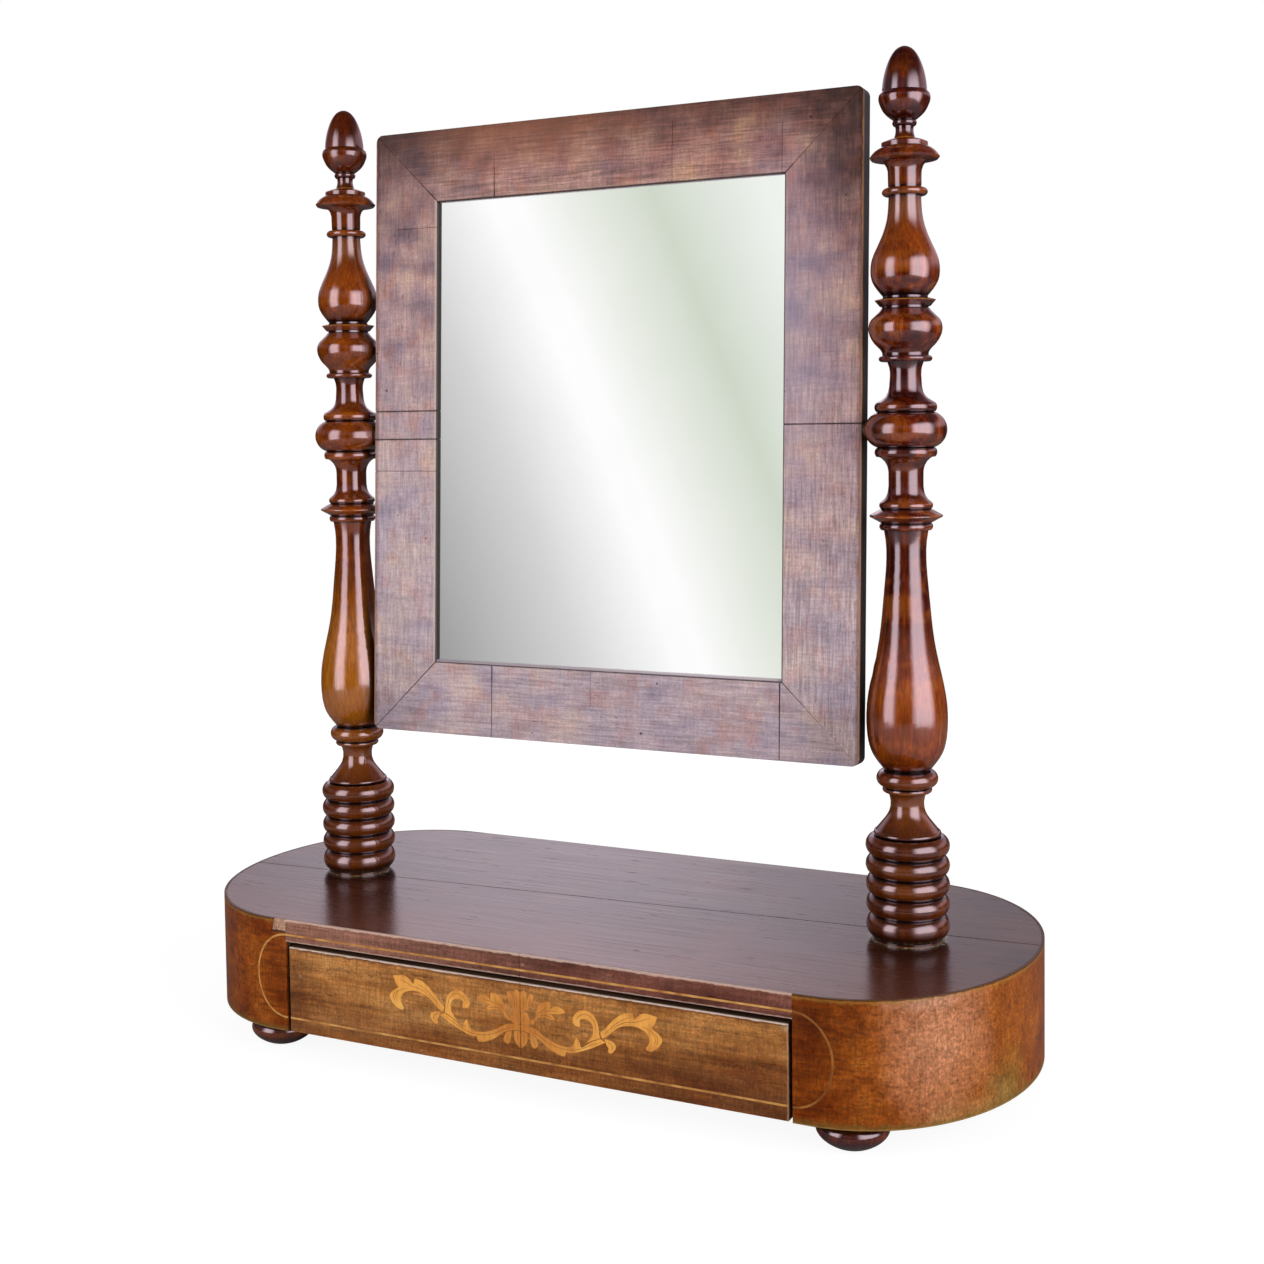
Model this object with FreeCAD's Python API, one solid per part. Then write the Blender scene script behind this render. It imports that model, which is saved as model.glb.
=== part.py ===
"""Table mirror with a drawer: a framed mirror swings between two turned posts on a round-ended base.

Millimetres, +Z up, +X to the right and -Y to the front. The origin is on the table, under the middle of the
base. The drawer is closed and the mirror leans back by its resting tilt.
"""
import FreeCAD
import Part

import math
import os

from FreeCAD import Vector

# Base box; its length and its drawer opening follow from the posts
POST_SPACING = 401.2
POST_SETBACK = 78.9        # from a post's axis to the tip of the base
BASE_DEPTH = 246.0
END_REACH = 99.2           # length of each rounded end, a half ellipse as wide as the base
BOX_HEIGHT = 72.2
RAIL_FACE_HEIGHT = 14.0    # of the rail and the edge of the top, over the drawer
TOP_THICKNESS = 8.0
TOP_JOINT_SLANT = 3.3      # degrees between the joint of the two top boards and the long axis
TOP_JOINT_GAP = 0.5
BASE_VENEER = 1.6
RAIL_DEPTH = 32.0
BACK_THICKNESS = 8.0
BOTTOM_THICKNESS = 8.0
HOUSING_DEPTH = 6.0        # how far rail and bottom board enter the end blocks
KICKER_WIDTH = 14.0
KICKER_PLAY = 1.2
GUIDE_HEIGHT = 14.0
GUIDE_PLAY = 0.6
BOOK_MATCH_GAP = 0.25      # open joint between the mirrored veneers of rail and drawer
PATCH_LENGTH = 11.0        # of the mended corner at the top of the left end, beside the rail
PATCH_HEIGHT = 8.2
PATCH_SLANT = 2.4
PATCH_JOINT = 0.4

# Light stringing let into the veneers
STRING_WIDTH = 1.3
STRING_DEPTH = 0.8
RAIL_STRING_RISE = 4.4     # above the lower edge of the rail
DRAWER_STRING_RISE = 9.0   # above the underside of the box
LUNETTE_REACH = 23.0       # of the half-round ends of the loop, beyond the drawer opening

# Bun feet
FOOT_HEIGHT = 19.0
FOOT_RADIUS = 20.9
FOOT_SOLE_RADIUS = 8.0
FOOT_COLLAR_RADIUS = 15.0
FOOT_COLLAR_HEIGHT = 2.0
FOOT_INSET = 25.0          # of a foot's axis from the drawer opening
FOOT_SETBACK = 28.5        # of a foot's axis from the front or back
FOOT_DOWEL_RADIUS = 5.0
FOOT_DOWEL_LENGTH = 16.0

# Posts: heights and radii of the turned members, from the tenon upwards
TENON_RADIUS = 9.0
TENON_LENGTH = 46.0
TENON_WALL = 20.1          # wood between a tenon and the drawer opening
POST_FOOT_RADIUS = 21.5
POST_FOOT_HEIGHT = 1.6
LOW_REED_HEIGHT = 14.0
REED_COUNT = 4             # reeds of one height above the low reed
REED_HEIGHT = 11.85
REED_RADIUS = 25.2
REED_GROOVE_RADIUS = 21.7
SHOULDER_RADIUS = 20.2
SHOULDER_EDGE = 19.0
SHOULDER_HEIGHT = 3.2
LOW_NECK_RADIUS = 10.1
LOW_NECK_HEIGHT = 23.0
FILLET_RADIUS = 14.9
FILLET_EDGE = 13.7
FILLET_HEIGHT = 3.4
LOW_RING_RADIUS = 18.5
LOW_RING_HEIGHT = 10.2
VASE_RADIUS = 24.3
VASE_NECK_RADIUS = 12.0
VASE_HEIGHT = 144.6
SMALL_RING_RADIUS = 15.9
SMALL_RING_EDGE = 14.9
SMALL_RING_HEIGHT = 4.2
SHARP_RING_RADIUS = 21.7
SHARP_RING_HEIGHT = 8.4
SHARP_RING_TIP_HEIGHT = 1.6
SHARP_RING_TIP_REACH = 0.7
WAIST_RADIUS = 10.3
WAIST_HEIGHT = 26.9
COLLAR_RADIUS = 18.5
COLLAR_EDGE = 17.4
COLLAR_HEIGHT = 5.4
PIVOT_RING_RADIUS = 24.4
PIVOT_RING_EDGE = 16.4
PIVOT_RING_HEIGHT = 21.4
UPPER_NECK_RADIUS = 9.4
UPPER_NECK_HEIGHT = 24.4
BALL_RADIUS = 21.8
BALL_EDGE = 13.7
BALL_HEIGHT = 28.0
UPPER_FILLET_RADIUS = 15.8
UPPER_RING_RADIUS = 18.1
UPPER_RING_EDGE = 15.0
UPPER_RING_GROOVE_RADIUS = 13.2
UPPER_RING_GROOVE_HEIGHT = 1.3
UPPER_RING_TAPER_HEIGHT = 3.6
UPPER_RING_TOP_HEIGHT = 1.0
BULB_RADIUS = 20.4
BULB_HEIGHT = 59.1
STEM_RADIUS = 9.6
TOP_RING_RADIUS = 13.5
TOP_RING_EDGE = 11.4
TOP_RING_HEIGHT = 4.4
FLARE_HEIGHT = 15.7
CAP_RADIUS = 20.6
CAP_UNDER_HEIGHT = 1.0
CAP_EDGE_HEIGHT = 1.4
CAP_EDGE_ROUND = 1.0
CAP_TOP_HEIGHT = 6.0
BUTTON_RADIUS = 13.7
BUTTON_HEIGHT = 2.6
BUTTON_DOME_HEIGHT = 2.2

# Acorn finials, each with a dowel in its post
FINIAL_DOWEL_RADIUS = 3.0
FINIAL_DOWEL_LENGTH = 12.0
FINIAL_FOOT_RADIUS = 6.6
FINIAL_NECK_RADIUS = 5.3
FINIAL_NECK_HEIGHT = 7.2
FINIAL_BEAD_RADIUS = 7.2
FINIAL_BEAD_HEIGHT = 3.8
CUP_RADIUS = 15.3
CUP_HEIGHT = 15.2
CUP_LIP_HEIGHT = 1.6
ACORN_RADIUS = 13.3
ACORN_HEIGHT = 26.6

# Pivots between posts and mirror frame
PIN_RADIUS = 3.0
PIN_IN_FRAME = 22.0
PIN_IN_POST = 15.0
PIN_RUNNING_CLEARANCE = 0.05
PIN_PRESS_CLEARANCE = 0.02
SEAT_DEPTH = 1.2           # flat cut on the inner side of the pivot ring
WASHER_RADIUS = 6.0
WASHER_THICKNESS = 2.0
WASHER_PLAY = 0.1

# Mirror frame; its width is what the posts leave free and its thickness what it holds
FRAME_HEIGHT = 409.2
STILE_WIDTH = 50.0
RAIL_WIDTH = 48.6
FRAME_RISE = 1.7           # of the frame's middle above the pivot axis
FRAME_CORNER_RADIUS = 5.0
FACE_VENEER = 1.2
VENEER_JOINT = 0.5
RAIL_JOINT = 0.9           # at the sight edge, closing towards the outer edge
TOP_RAIL_JOINTS = ((-81.0, 0.62),)   # place, and where it closes, in widths; over 1, it is open throughout
BOTTOM_RAIL_JOINTS = ((-81.0, 1.6), (124.0, 2.5))
LEFT_STILE_JOINTS = (14.5, -4.7)     # along the stile, from its middle
RIGHT_STILE_JOINTS = (2.2,)
VENEER_CRACK = 0.25
TOP_RAIL_CRACKS = ((49.0, 0.8), (123.0, 0.65))    # place, and reach from the sight edge in widths
BOTTOM_RAIL_CRACKS = ((-7.0, 0.5),)
LEFT_STILE_CRACKS = ((138.8, 0.65), (-26.6, 1.0))
MITRE_GAP = 0.6            # at the sight corners, closing towards the outer corners
LEFT_MITRE_REACHES = (0.65, 2.0)     # top and bottom, in lengths of the mitre; over 1, it is open throughout
RIGHT_MITRE_REACHES = (0.5, 0.6)
REST_TILT = 2.5            # degrees, top to the back
REBATE_WIDTH = 7.0
GLASS_SETBACK = 2.6        # from the front face to the glass
GLASS_THICKNESS = 2.6
GLASS_PLAY = 0.5           # all round in the rebate
BACKING_THICKNESS = 3.0
BACKING_RECESS = 3.4       # behind the backing, where the brads lie
BRAD_RADIUS = 0.65
BRAD_LENGTH = 14.0
BRAD_SPREAD = 90.0         # from the middle of a member to each of its two brads

# Drawer
DRAWER_RECESS = 0.3        # of the drawer's face behind the rail's
DRAWER_SIDE_GAP = 2.5      # to the opening, each side
DRAWER_TOP_GAP = 3.4
DRAWER_FLOOR_GAP = 0.4     # under the drawer front
DRAWER_STOP_GAP = 0.3      # between drawer front and bottom board
DRAWER_RUN_CLEARANCE = 0.2
DRAWER_BACK_SPACE = 8.0
DRAWER_VENEER = 1.4
DRAWER_FRONT_CORE = 12.0
DRAWER_WALL = 8.0
DRAWER_SIDE_DROP = 1.2     # of the sides below the front's top edge
DRAWER_BACK_DROP = 4.0     # of the back below the sides
DRAWER_BOTTOM_THICKNESS = 4.0
DRAWER_BOTTOM_RISE = 4.0   # above the lower edges of the sides
DRAWER_GROOVE = 3.0
TAIL_COUNT = 2
TAIL_LENGTH = 8.0
TAIL_WIDTH = 12.0
TAIL_SLOPE = 1.5           # narrowing on each flank of a dovetail
NAIL_RADIUS = 0.8
NAIL_HEAD_RADIUS = 1.8
NAIL_HEAD_HEIGHT = 0.8
NAIL_LENGTH = 14.0
NAIL_SPACING = 140.0

GLUE_CLEARANCE = 0.1       # radial, round tenons and dowels in their holes

# Levels and planes that several pieces share
POST_X = POST_SPACING / 2
BASE_LENGTH = POST_SPACING + 2 * POST_SETBACK
OPENING_HALF = POST_X - TENON_RADIUS - TENON_WALL
FRONT = -BASE_DEPTH / 2
BACK = BASE_DEPTH / 2
BOX_BOTTOM = FOOT_HEIGHT
BOX_TOP = BOX_BOTTOM + BOX_HEIGHT
CARCASS_TOP = BOX_TOP - TOP_THICKNESS
RAIL_BOTTOM = BOX_TOP - RAIL_FACE_HEIGHT
BOTTOM_LEVEL = BOX_BOTTOM + BOTTOM_THICKNESS
RAIL_STRING_LEVEL = RAIL_BOTTOM + RAIL_STRING_RISE
DRAWER_STRING_LEVEL = BOX_BOTTOM + DRAWER_STRING_RISE
FOOT_X = OPENING_HALF + FOOT_INSET
FOOT_Y = BASE_DEPTH / 2 - FOOT_SETBACK
SEAT_X = POST_X - PIVOT_RING_RADIUS + SEAT_DEPTH
FRAME_HALF = SEAT_X - WASHER_THICKNESS - 2 * WASHER_PLAY
FRAME_THICKNESS = GLASS_SETBACK + GLASS_THICKNESS + BACKING_THICKNESS + BACKING_RECESS
FRAME_FRONT = (FRAME_THICKNESS + FACE_VENEER) / 2    # the pivot axis lies in the middle of the core
DRAWER_HALF = OPENING_HALF - DRAWER_SIDE_GAP
DRAWER_FRONT = FRONT + DRAWER_RECESS
DRAWER_FACE_BACK = DRAWER_FRONT + DRAWER_VENEER + DRAWER_FRONT_CORE
DRAWER_END = BACK - BACK_THICKNESS - DRAWER_BACK_SPACE
DRAWER_FACE_TOP = RAIL_BOTTOM - DRAWER_TOP_GAP
DRAWER_SIDE_TOP = DRAWER_FACE_TOP - DRAWER_SIDE_DROP
DRAWER_SIDE_LOW = BOTTOM_LEVEL + DRAWER_RUN_CLEARANCE

nodes = {}


def block(x0, x1, y0, y1, z0, z1):
    """Box between two corners."""
    return Part.makeBox(x1 - x0, y1 - y0, z1 - z0, Vector(x0, y0, z0))


def rod(radius, start, direction, length):
    """Cylinder from a point along a direction."""
    return Part.makeCylinder(radius, length, start, direction)


def mirrored(shape):
    """The same piece on the other side of the middle plane x = 0."""
    return shape.mirror(Vector(0, 0, 0), Vector(1, 0, 0))


def add_pair(name, right_piece):
    """Adds a right piece and its mirror image; the name has a place for the side."""
    nodes[name.format("right")] = right_piece
    nodes[name.format("left")] = mirrored(right_piece)


class Turning:
    """A lathe profile drawn upwards from the axis; each call adds one turned member."""

    def __init__(self, radius, level):
        self.radius = radius
        self.level = level
        self.edges = [Part.makeLine(Vector(0, 0, level), Vector(radius, 0, level))]
        self.base = Vector(0, 0, level)

    def here(self):
        return Vector(self.radius, 0, self.level)

    def line(self, rise, radius):
        start = self.here()
        self.level += rise
        self.radius = radius
        self.edges.append(Part.makeLine(start, self.here()))

    def band(self, height, radius):
        """Square-edged disc."""
        if radius != self.radius:
            self.line(0, radius)
        self.line(height, radius)

    def bead(self, height, crest, radius):
        """Round member whose crest is half way up."""
        start = self.here()
        middle = Vector(crest, 0, self.level + height / 2)
        self.level += height
        self.radius = radius
        self.edges.append(Part.Arc(start, middle, self.here()).toShape())

    def curve(self, height, inner, outer, shape):
        """Smooth member; its shape gives shares of its height, and of the way from inner to outer radius."""
        track = [self.here()]
        for rise, share in shape:
            track.append(Vector(inner + share * (outer - inner), 0, self.level + rise * height))
        spline = Part.BSplineCurve()
        spline.interpolate(track)
        self.edges.append(spline.toShape())
        self.level = track[-1].z
        self.radius = track[-1].x

    def solid(self):
        """Closes the profile along the axis and turns it."""
        edges = list(self.edges)
        tip = Vector(0, 0, self.level)
        if self.radius > 0:
            edges.append(Part.makeLine(self.here(), tip))
        edges.append(Part.makeLine(tip, self.base))
        face = Part.Face(Part.Wire(edges))
        return face.revolve(Vector(0, 0, 0), Vector(0, 0, 1), 360)


def base_outline(inset, z0, z1):
    """Prism of the base's outline: straight front and back, half-elliptic ends."""
    half_depth = BASE_DEPTH / 2 - inset
    reach = END_REACH - inset
    straight = BASE_LENGTH / 2 - END_REACH
    edges = []
    for side in (1, -1):
        middle = Vector(side * straight, 0, z0)
        major = middle + Vector(0, side * half_depth, 0)
        minor = middle + Vector(side * reach, 0, 0)
        ellipse = Part.Ellipse(major, minor, middle)
        for quarter in (0, math.pi / 2):
            edges.append(Part.ArcOfEllipse(ellipse, quarter, quarter + math.pi / 2).toShape())
    for y in (half_depth, -half_depth):
        edges.append(Part.makeLine(Vector(-straight, y, z0), Vector(straight, y, z0)))
    outline = Part.Face(Part.Wire(Part.__sortEdges__(edges)))
    return outline.extrude(Vector(0, 0, z1 - z0))


def half_ellipse(reach, half_height):
    """Half-elliptic prism at the right of the opening, midway between the strings, from the front inwards."""
    level = (RAIL_STRING_LEVEL + DRAWER_STRING_LEVEL) / 2
    middle = Vector(OPENING_HALF, FRONT, level)
    top = middle + Vector(0, 0, half_height)
    side = middle + Vector(reach, 0, 0)
    ellipse = Part.Ellipse(top, side, middle) if half_height > reach else Part.Ellipse(side, top, middle)
    disc = Part.Face(Part.Wire(ellipse.toShape())).extrude(Vector(0, BASE_DEPTH / 2, 0))
    right_side = block(OPENING_HALF, OPENING_HALF + 2 * reach, FRONT, 0,
                       level - 2 * half_height, level + 2 * half_height)
    return disc.common(right_side)


# Rail over the drawer, with its book-matched facings and stringing
rail = block(-OPENING_HALF - HOUSING_DEPTH, OPENING_HALF + HOUSING_DEPTH, FRONT + BASE_VENEER,
             FRONT + BASE_VENEER + RAIL_DEPTH, RAIL_BOTTOM, CARCASS_TOP)
nodes["front_rail"] = rail

rail_string = block(-OPENING_HALF, OPENING_HALF, FRONT, FRONT + STRING_DEPTH,
                    RAIL_STRING_LEVEL - STRING_WIDTH / 2, RAIL_STRING_LEVEL + STRING_WIDTH / 2)
nodes["rail_stringing"] = rail_string

rail_facing = block(BOOK_MATCH_GAP / 2, OPENING_HALF, FRONT, FRONT + BASE_VENEER, RAIL_BOTTOM, BOX_TOP)
add_pair("rail_facing_{}", rail_facing.cut(rail_string))

# Bottom board, housed in the end blocks; its front edge stops the drawer
bottom_board = block(-OPENING_HALF - HOUSING_DEPTH, OPENING_HALF + HOUSING_DEPTH,
                     DRAWER_FACE_BACK + DRAWER_STOP_GAP, BACK - BACK_THICKNESS, BOX_BOTTOM, BOTTOM_LEVEL)
nodes["bottom_board"] = bottom_board
nodes["back_board"] = block(-OPENING_HALF, OPENING_HALF, BACK - BACK_THICKNESS, BACK, BOX_BOTTOM, CARCASS_TOP)

# Rounded ends: solid blocks under a bent veneer, with the half-round ends of the stringing loop
outer = base_outline(0, BOX_BOTTOM, BOX_TOP)
core = base_outline(BASE_VENEER, BOX_BOTTOM, BOX_TOP)
right_end = block(OPENING_HALF, BASE_LENGTH, FRONT, BACK, BOX_BOTTOM, BOX_TOP)
end_skin = outer.cut(core).common(right_end)

string_half = (RAIL_STRING_LEVEL - DRAWER_STRING_LEVEL) / 2
lunette = half_ellipse(LUNETTE_REACH + STRING_WIDTH / 2, string_half + STRING_WIDTH / 2)
lunette = lunette.cut(half_ellipse(LUNETTE_REACH - STRING_WIDTH / 2, string_half - STRING_WIDTH / 2))
end_string = outer.cut(base_outline(STRING_DEPTH, BOX_BOTTOM, BOX_TOP)).common(lunette)
end_veneer = end_skin.cut(end_string)
add_pair("{}_end_stringing", end_string)
add_pair("{}_end_veneer", end_veneer)


def patch_prism(length, height):
    """Prism through the left end's front, with a slanting outer side, down from the top edge."""
    outline = [Vector(-OPENING_HALF, FRONT, BOX_TOP), Vector(-OPENING_HALF, FRONT, BOX_TOP - height),
               Vector(-OPENING_HALF - length, FRONT, BOX_TOP - height),
               Vector(-OPENING_HALF - length + PATCH_SLANT, FRONT, BOX_TOP)]
    return Part.Face(Part.makePolygon(outline + outline[:1])).extrude(Vector(0, BASE_DEPTH / 2, 0))


# Mended corner of the left end: a new slip of veneer with an open joint round it
nodes["veneer_patch"] = nodes["left_end_veneer"].common(patch_prism(PATCH_LENGTH, PATCH_HEIGHT))
patch_hole = patch_prism(PATCH_LENGTH + PATCH_JOINT, PATCH_HEIGHT + PATCH_JOINT)
nodes["left_end_veneer"] = nodes["left_end_veneer"].cut(patch_hole)

end_block = core.common(block(OPENING_HALF, BASE_LENGTH, FRONT, BACK, BOX_BOTTOM, CARCASS_TOP))
end_block = end_block.cut(rail).cut(bottom_board)
tenon_hole = rod(TENON_RADIUS + GLUE_CLEARANCE, Vector(POST_X, 0, BOX_TOP), Vector(0, 0, -1),
                 TENON_LENGTH + GLUE_CLEARANCE)
end_block = end_block.cut(tenon_hole)
for side in (1, -1):
    end_block = end_block.cut(rod(FOOT_DOWEL_RADIUS + GLUE_CLEARANCE,
                                  Vector(FOOT_X, side * FOOT_Y, BOX_BOTTOM), Vector(0, 0, 1),
                                  FOOT_DOWEL_LENGTH + GLUE_CLEARANCE))
add_pair("{}_end_block", end_block)

# Top: two boards with a slanting open joint, let in behind the upright veneers
top_slab = base_outline(0, CARCASS_TOP, BOX_TOP)
rail_skin = block(-OPENING_HALF, OPENING_HALF, FRONT, FRONT + BASE_VENEER, CARCASS_TOP, BOX_TOP)
for cover in (end_skin, mirrored(end_skin), rail_skin):
    top_slab = top_slab.cut(cover)
top_slab = top_slab.cut(tenon_hole).cut(mirrored(tenon_hole))
joint_edge = TOP_JOINT_GAP / 2
for name, near, far in (("front", -BASE_LENGTH, -joint_edge), ("rear", joint_edge, BASE_LENGTH)):
    half = block(-BASE_LENGTH, BASE_LENGTH, near, far, CARCASS_TOP, BOX_TOP)
    half.rotate(Vector(0, 0, 0), Vector(0, 0, 1), TOP_JOINT_SLANT)
    nodes["top_board_" + name] = top_slab.common(half)

# Strips that keep the drawer from tipping and guide its sides
add_pair("{}_kicker", block(OPENING_HALF - KICKER_WIDTH, OPENING_HALF, FRONT + BASE_VENEER + RAIL_DEPTH,
                            BACK - BACK_THICKNESS, DRAWER_SIDE_TOP + KICKER_PLAY, CARCASS_TOP))
add_pair("{}_drawer_guide", block(DRAWER_HALF + GUIDE_PLAY, OPENING_HALF, DRAWER_FACE_BACK + DRAWER_STOP_GAP,
                                  BACK - BACK_THICKNESS, BOTTOM_LEVEL, BOTTOM_LEVEL + GUIDE_HEIGHT))

# Bun feet with dowels into the end blocks
bun = Turning(FOOT_SOLE_RADIUS, 0)
bun.curve(FOOT_HEIGHT - FOOT_COLLAR_HEIGHT, FOOT_SOLE_RADIUS, FOOT_RADIUS,
          [(0.06, 0.23), (0.2, 0.57), (0.4, 0.87), (0.62, 1), (0.82, 0.93), (1, 0.68)])
bun.band(FOOT_COLLAR_HEIGHT, FOOT_COLLAR_RADIUS)
bun.band(FOOT_DOWEL_LENGTH, FOOT_DOWEL_RADIUS)
foot = bun.solid()
for name, side in (("front", -1), ("rear", 1)):
    placed = foot.copy()
    placed.translate(Vector(FOOT_X, side * FOOT_Y, 0))
    add_pair(name + "_{}_foot", placed)

# Turned post, drawn from its tenon up
post = Turning(TENON_RADIUS, BOX_TOP - TENON_LENGTH)
post.line(TENON_LENGTH, TENON_RADIUS)
post.band(POST_FOOT_HEIGHT, POST_FOOT_RADIUS)
post.bead(LOW_REED_HEIGHT, REED_RADIUS, REED_GROOVE_RADIUS)
for reed in range(REED_COUNT):
    post.bead(REED_HEIGHT, REED_RADIUS, REED_GROOVE_RADIUS)
post.line(0, SHOULDER_EDGE)
post.bead(SHOULDER_HEIGHT, SHOULDER_RADIUS, SHOULDER_EDGE)
post.curve(LOW_NECK_HEIGHT, LOW_NECK_RADIUS, SHOULDER_RADIUS,
           [(0.26, 0.4), (0.51, 0.06), (0.78, 0), (1, 0.16)])
post.line(0, FILLET_EDGE)
post.bead(FILLET_HEIGHT, FILLET_RADIUS, FILLET_EDGE)
post.bead(LOW_RING_HEIGHT, LOW_RING_RADIUS, FILLET_EDGE)
post.curve(VASE_HEIGHT, VASE_NECK_RADIUS, VASE_RADIUS,
           [(0.034, 0.46), (0.076, 0.76), (0.156, 0.97), (0.207, 1), (0.287, 0.95), (0.412, 0.675),
            (0.537, 0.37), (0.704, 0.155), (0.83, 0.02), (0.94, 0), (1, 0.1)])
post.line(0, SMALL_RING_EDGE)
post.bead(SMALL_RING_HEIGHT, SMALL_RING_RADIUS, SMALL_RING_EDGE)
sharp_slope = (SHARP_RING_HEIGHT - SHARP_RING_TIP_HEIGHT) / 2
post.line(sharp_slope, SHARP_RING_RADIUS - SHARP_RING_TIP_REACH)
post.bead(SHARP_RING_TIP_HEIGHT, SHARP_RING_RADIUS, SHARP_RING_RADIUS - SHARP_RING_TIP_REACH)
post.line(sharp_slope, SMALL_RING_EDGE)
post.bead(SMALL_RING_HEIGHT, SMALL_RING_RADIUS, SMALL_RING_EDGE)
post.curve(WAIST_HEIGHT, WAIST_RADIUS, SMALL_RING_RADIUS, [(0.14, 0.21), (0.47, 0), (0.81, 0.16), (1, 1)])
post.line(0, COLLAR_EDGE)
post.bead(COLLAR_HEIGHT, COLLAR_RADIUS, COLLAR_EDGE)
post.line(0, PIVOT_RING_EDGE)
PIVOT_LEVEL = post.level + PIVOT_RING_HEIGHT / 2
post.bead(PIVOT_RING_HEIGHT, PIVOT_RING_RADIUS, PIVOT_RING_EDGE)
post.line(0, COLLAR_EDGE)
post.bead(COLLAR_HEIGHT, COLLAR_RADIUS, COLLAR_EDGE)
post.curve(UPPER_NECK_HEIGHT, UPPER_NECK_RADIUS, COLLAR_RADIUS,
           [(0.066, 0.58), (0.164, 0.25), (0.54, 0), (0.8, 0), (1, 0.15)])
post.line(0, FILLET_EDGE)
post.bead(FILLET_HEIGHT, UPPER_FILLET_RADIUS, FILLET_EDGE)
post.curve(BALL_HEIGHT, BALL_EDGE, BALL_RADIUS,
           [(0.057, 0), (0.23, 0.46), (0.39, 0.84), (0.56, 1), (0.757, 0.83), (0.864, 0.48), (1, 0.07)])
post.band(UPPER_RING_GROOVE_HEIGHT, BALL_EDGE)
post.line(0, UPPER_RING_EDGE)
post.line(UPPER_RING_TAPER_HEIGHT, UPPER_RING_RADIUS)
post.line(UPPER_RING_TOP_HEIGHT, UPPER_RING_EDGE)
post.band(UPPER_RING_GROOVE_HEIGHT, UPPER_RING_GROOVE_RADIUS)
post.curve(BULB_HEIGHT, STEM_RADIUS, BULB_RADIUS,
           [(0.055, 0.58), (0.16, 0.925), (0.264, 1), (0.363, 0.935), (0.462, 0.73), (0.562, 0.48),
            (0.664, 0.26), (0.764, 0.11), (0.88, 0.03), (1, 0)])
post.line(0, TOP_RING_EDGE)
post.bead(TOP_RING_HEIGHT, TOP_RING_RADIUS, TOP_RING_EDGE)
post.line(0, STEM_RADIUS)
post.curve(FLARE_HEIGHT, STEM_RADIUS, CAP_RADIUS, [(0.43, 0.02), (0.84, 0.12), (1, 0.34)])
post.line(CAP_UNDER_HEIGHT, CAP_RADIUS - CAP_EDGE_ROUND)
post.line(CAP_EDGE_HEIGHT, CAP_RADIUS)
post.curve(CAP_TOP_HEIGHT, BUTTON_RADIUS, CAP_RADIUS, [(0.43, 0.74), (1, 0.04)])
post.band(BUTTON_HEIGHT, BUTTON_RADIUS)
post.curve(BUTTON_DOME_HEIGHT, FINIAL_FOOT_RADIUS, BUTTON_RADIUS, [(0.64, 0.56), (1, 0)])
POST_TOP = post.level
right_post = post.solid()
right_post.translate(Vector(POST_X, 0, 0))
right_post = right_post.cut(rod(FINIAL_DOWEL_RADIUS + GLUE_CLEARANCE, Vector(POST_X, 0, POST_TOP),
                                Vector(0, 0, -1), FINIAL_DOWEL_LENGTH + GLUE_CLEARANCE))
ring_reach = PIVOT_RING_HEIGHT / 2
right_post = right_post.cut(block(0, SEAT_X, -ring_reach, ring_reach,
                                  PIVOT_LEVEL - ring_reach, PIVOT_LEVEL + ring_reach))
right_post = right_post.cut(rod(PIN_RADIUS + PIN_RUNNING_CLEARANCE, Vector(SEAT_X, 0, PIVOT_LEVEL),
                                Vector(1, 0, 0), PIN_IN_POST + WASHER_PLAY))
add_pair("{}_post", right_post)

# Acorn finial with its dowel
acorn = Turning(FINIAL_DOWEL_RADIUS, POST_TOP - FINIAL_DOWEL_LENGTH)
acorn.line(FINIAL_DOWEL_LENGTH, FINIAL_DOWEL_RADIUS)
acorn.line(0, FINIAL_FOOT_RADIUS)
acorn.curve(FINIAL_NECK_HEIGHT, FINIAL_NECK_RADIUS, FINIAL_FOOT_RADIUS, [(0.3, 0.38), (0.7, 0), (1, 0.15)])
acorn.bead(FINIAL_BEAD_HEIGHT, FINIAL_BEAD_RADIUS, FINIAL_FOOT_RADIUS)
acorn.curve(CUP_HEIGHT, FINIAL_FOOT_RADIUS, CUP_RADIUS,
            [(0.16, 0.37), (0.355, 0.68), (0.55, 0.86), (0.84, 1), (1, 0.94)])
acorn.line(CUP_LIP_HEIGHT, ACORN_RADIUS)
acorn.curve(ACORN_HEIGHT, 0, ACORN_RADIUS,
            [(0.235, 0.955), (0.4, 0.89), (0.56, 0.795), (0.71, 0.675), (0.82, 0.55), (0.92, 0.38),
             (0.975, 0.205), (1, 0)])
finial = acorn.solid()
finial.translate(Vector(POST_X, 0, 0))
add_pair("{}_finial", finial)

# Mirror frame, built upright about the pivot axis and then leaned back
frame_middle = PIVOT_LEVEL + FRAME_RISE
frame_top = frame_middle + FRAME_HEIGHT / 2
frame_low = frame_middle - FRAME_HEIGHT / 2
sight_half = FRAME_HALF - STILE_WIDTH
sight_top = frame_top - RAIL_WIDTH
sight_low = frame_low + RAIL_WIDTH
face_front = -FRAME_FRONT
face_back = face_front + FACE_VENEER
frame_back = face_front + FRAME_THICKNESS
glass_front = face_front + GLASS_SETBACK
glass_back = glass_front + GLASS_THICKNESS
backing_back = glass_back + BACKING_THICKNESS

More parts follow.
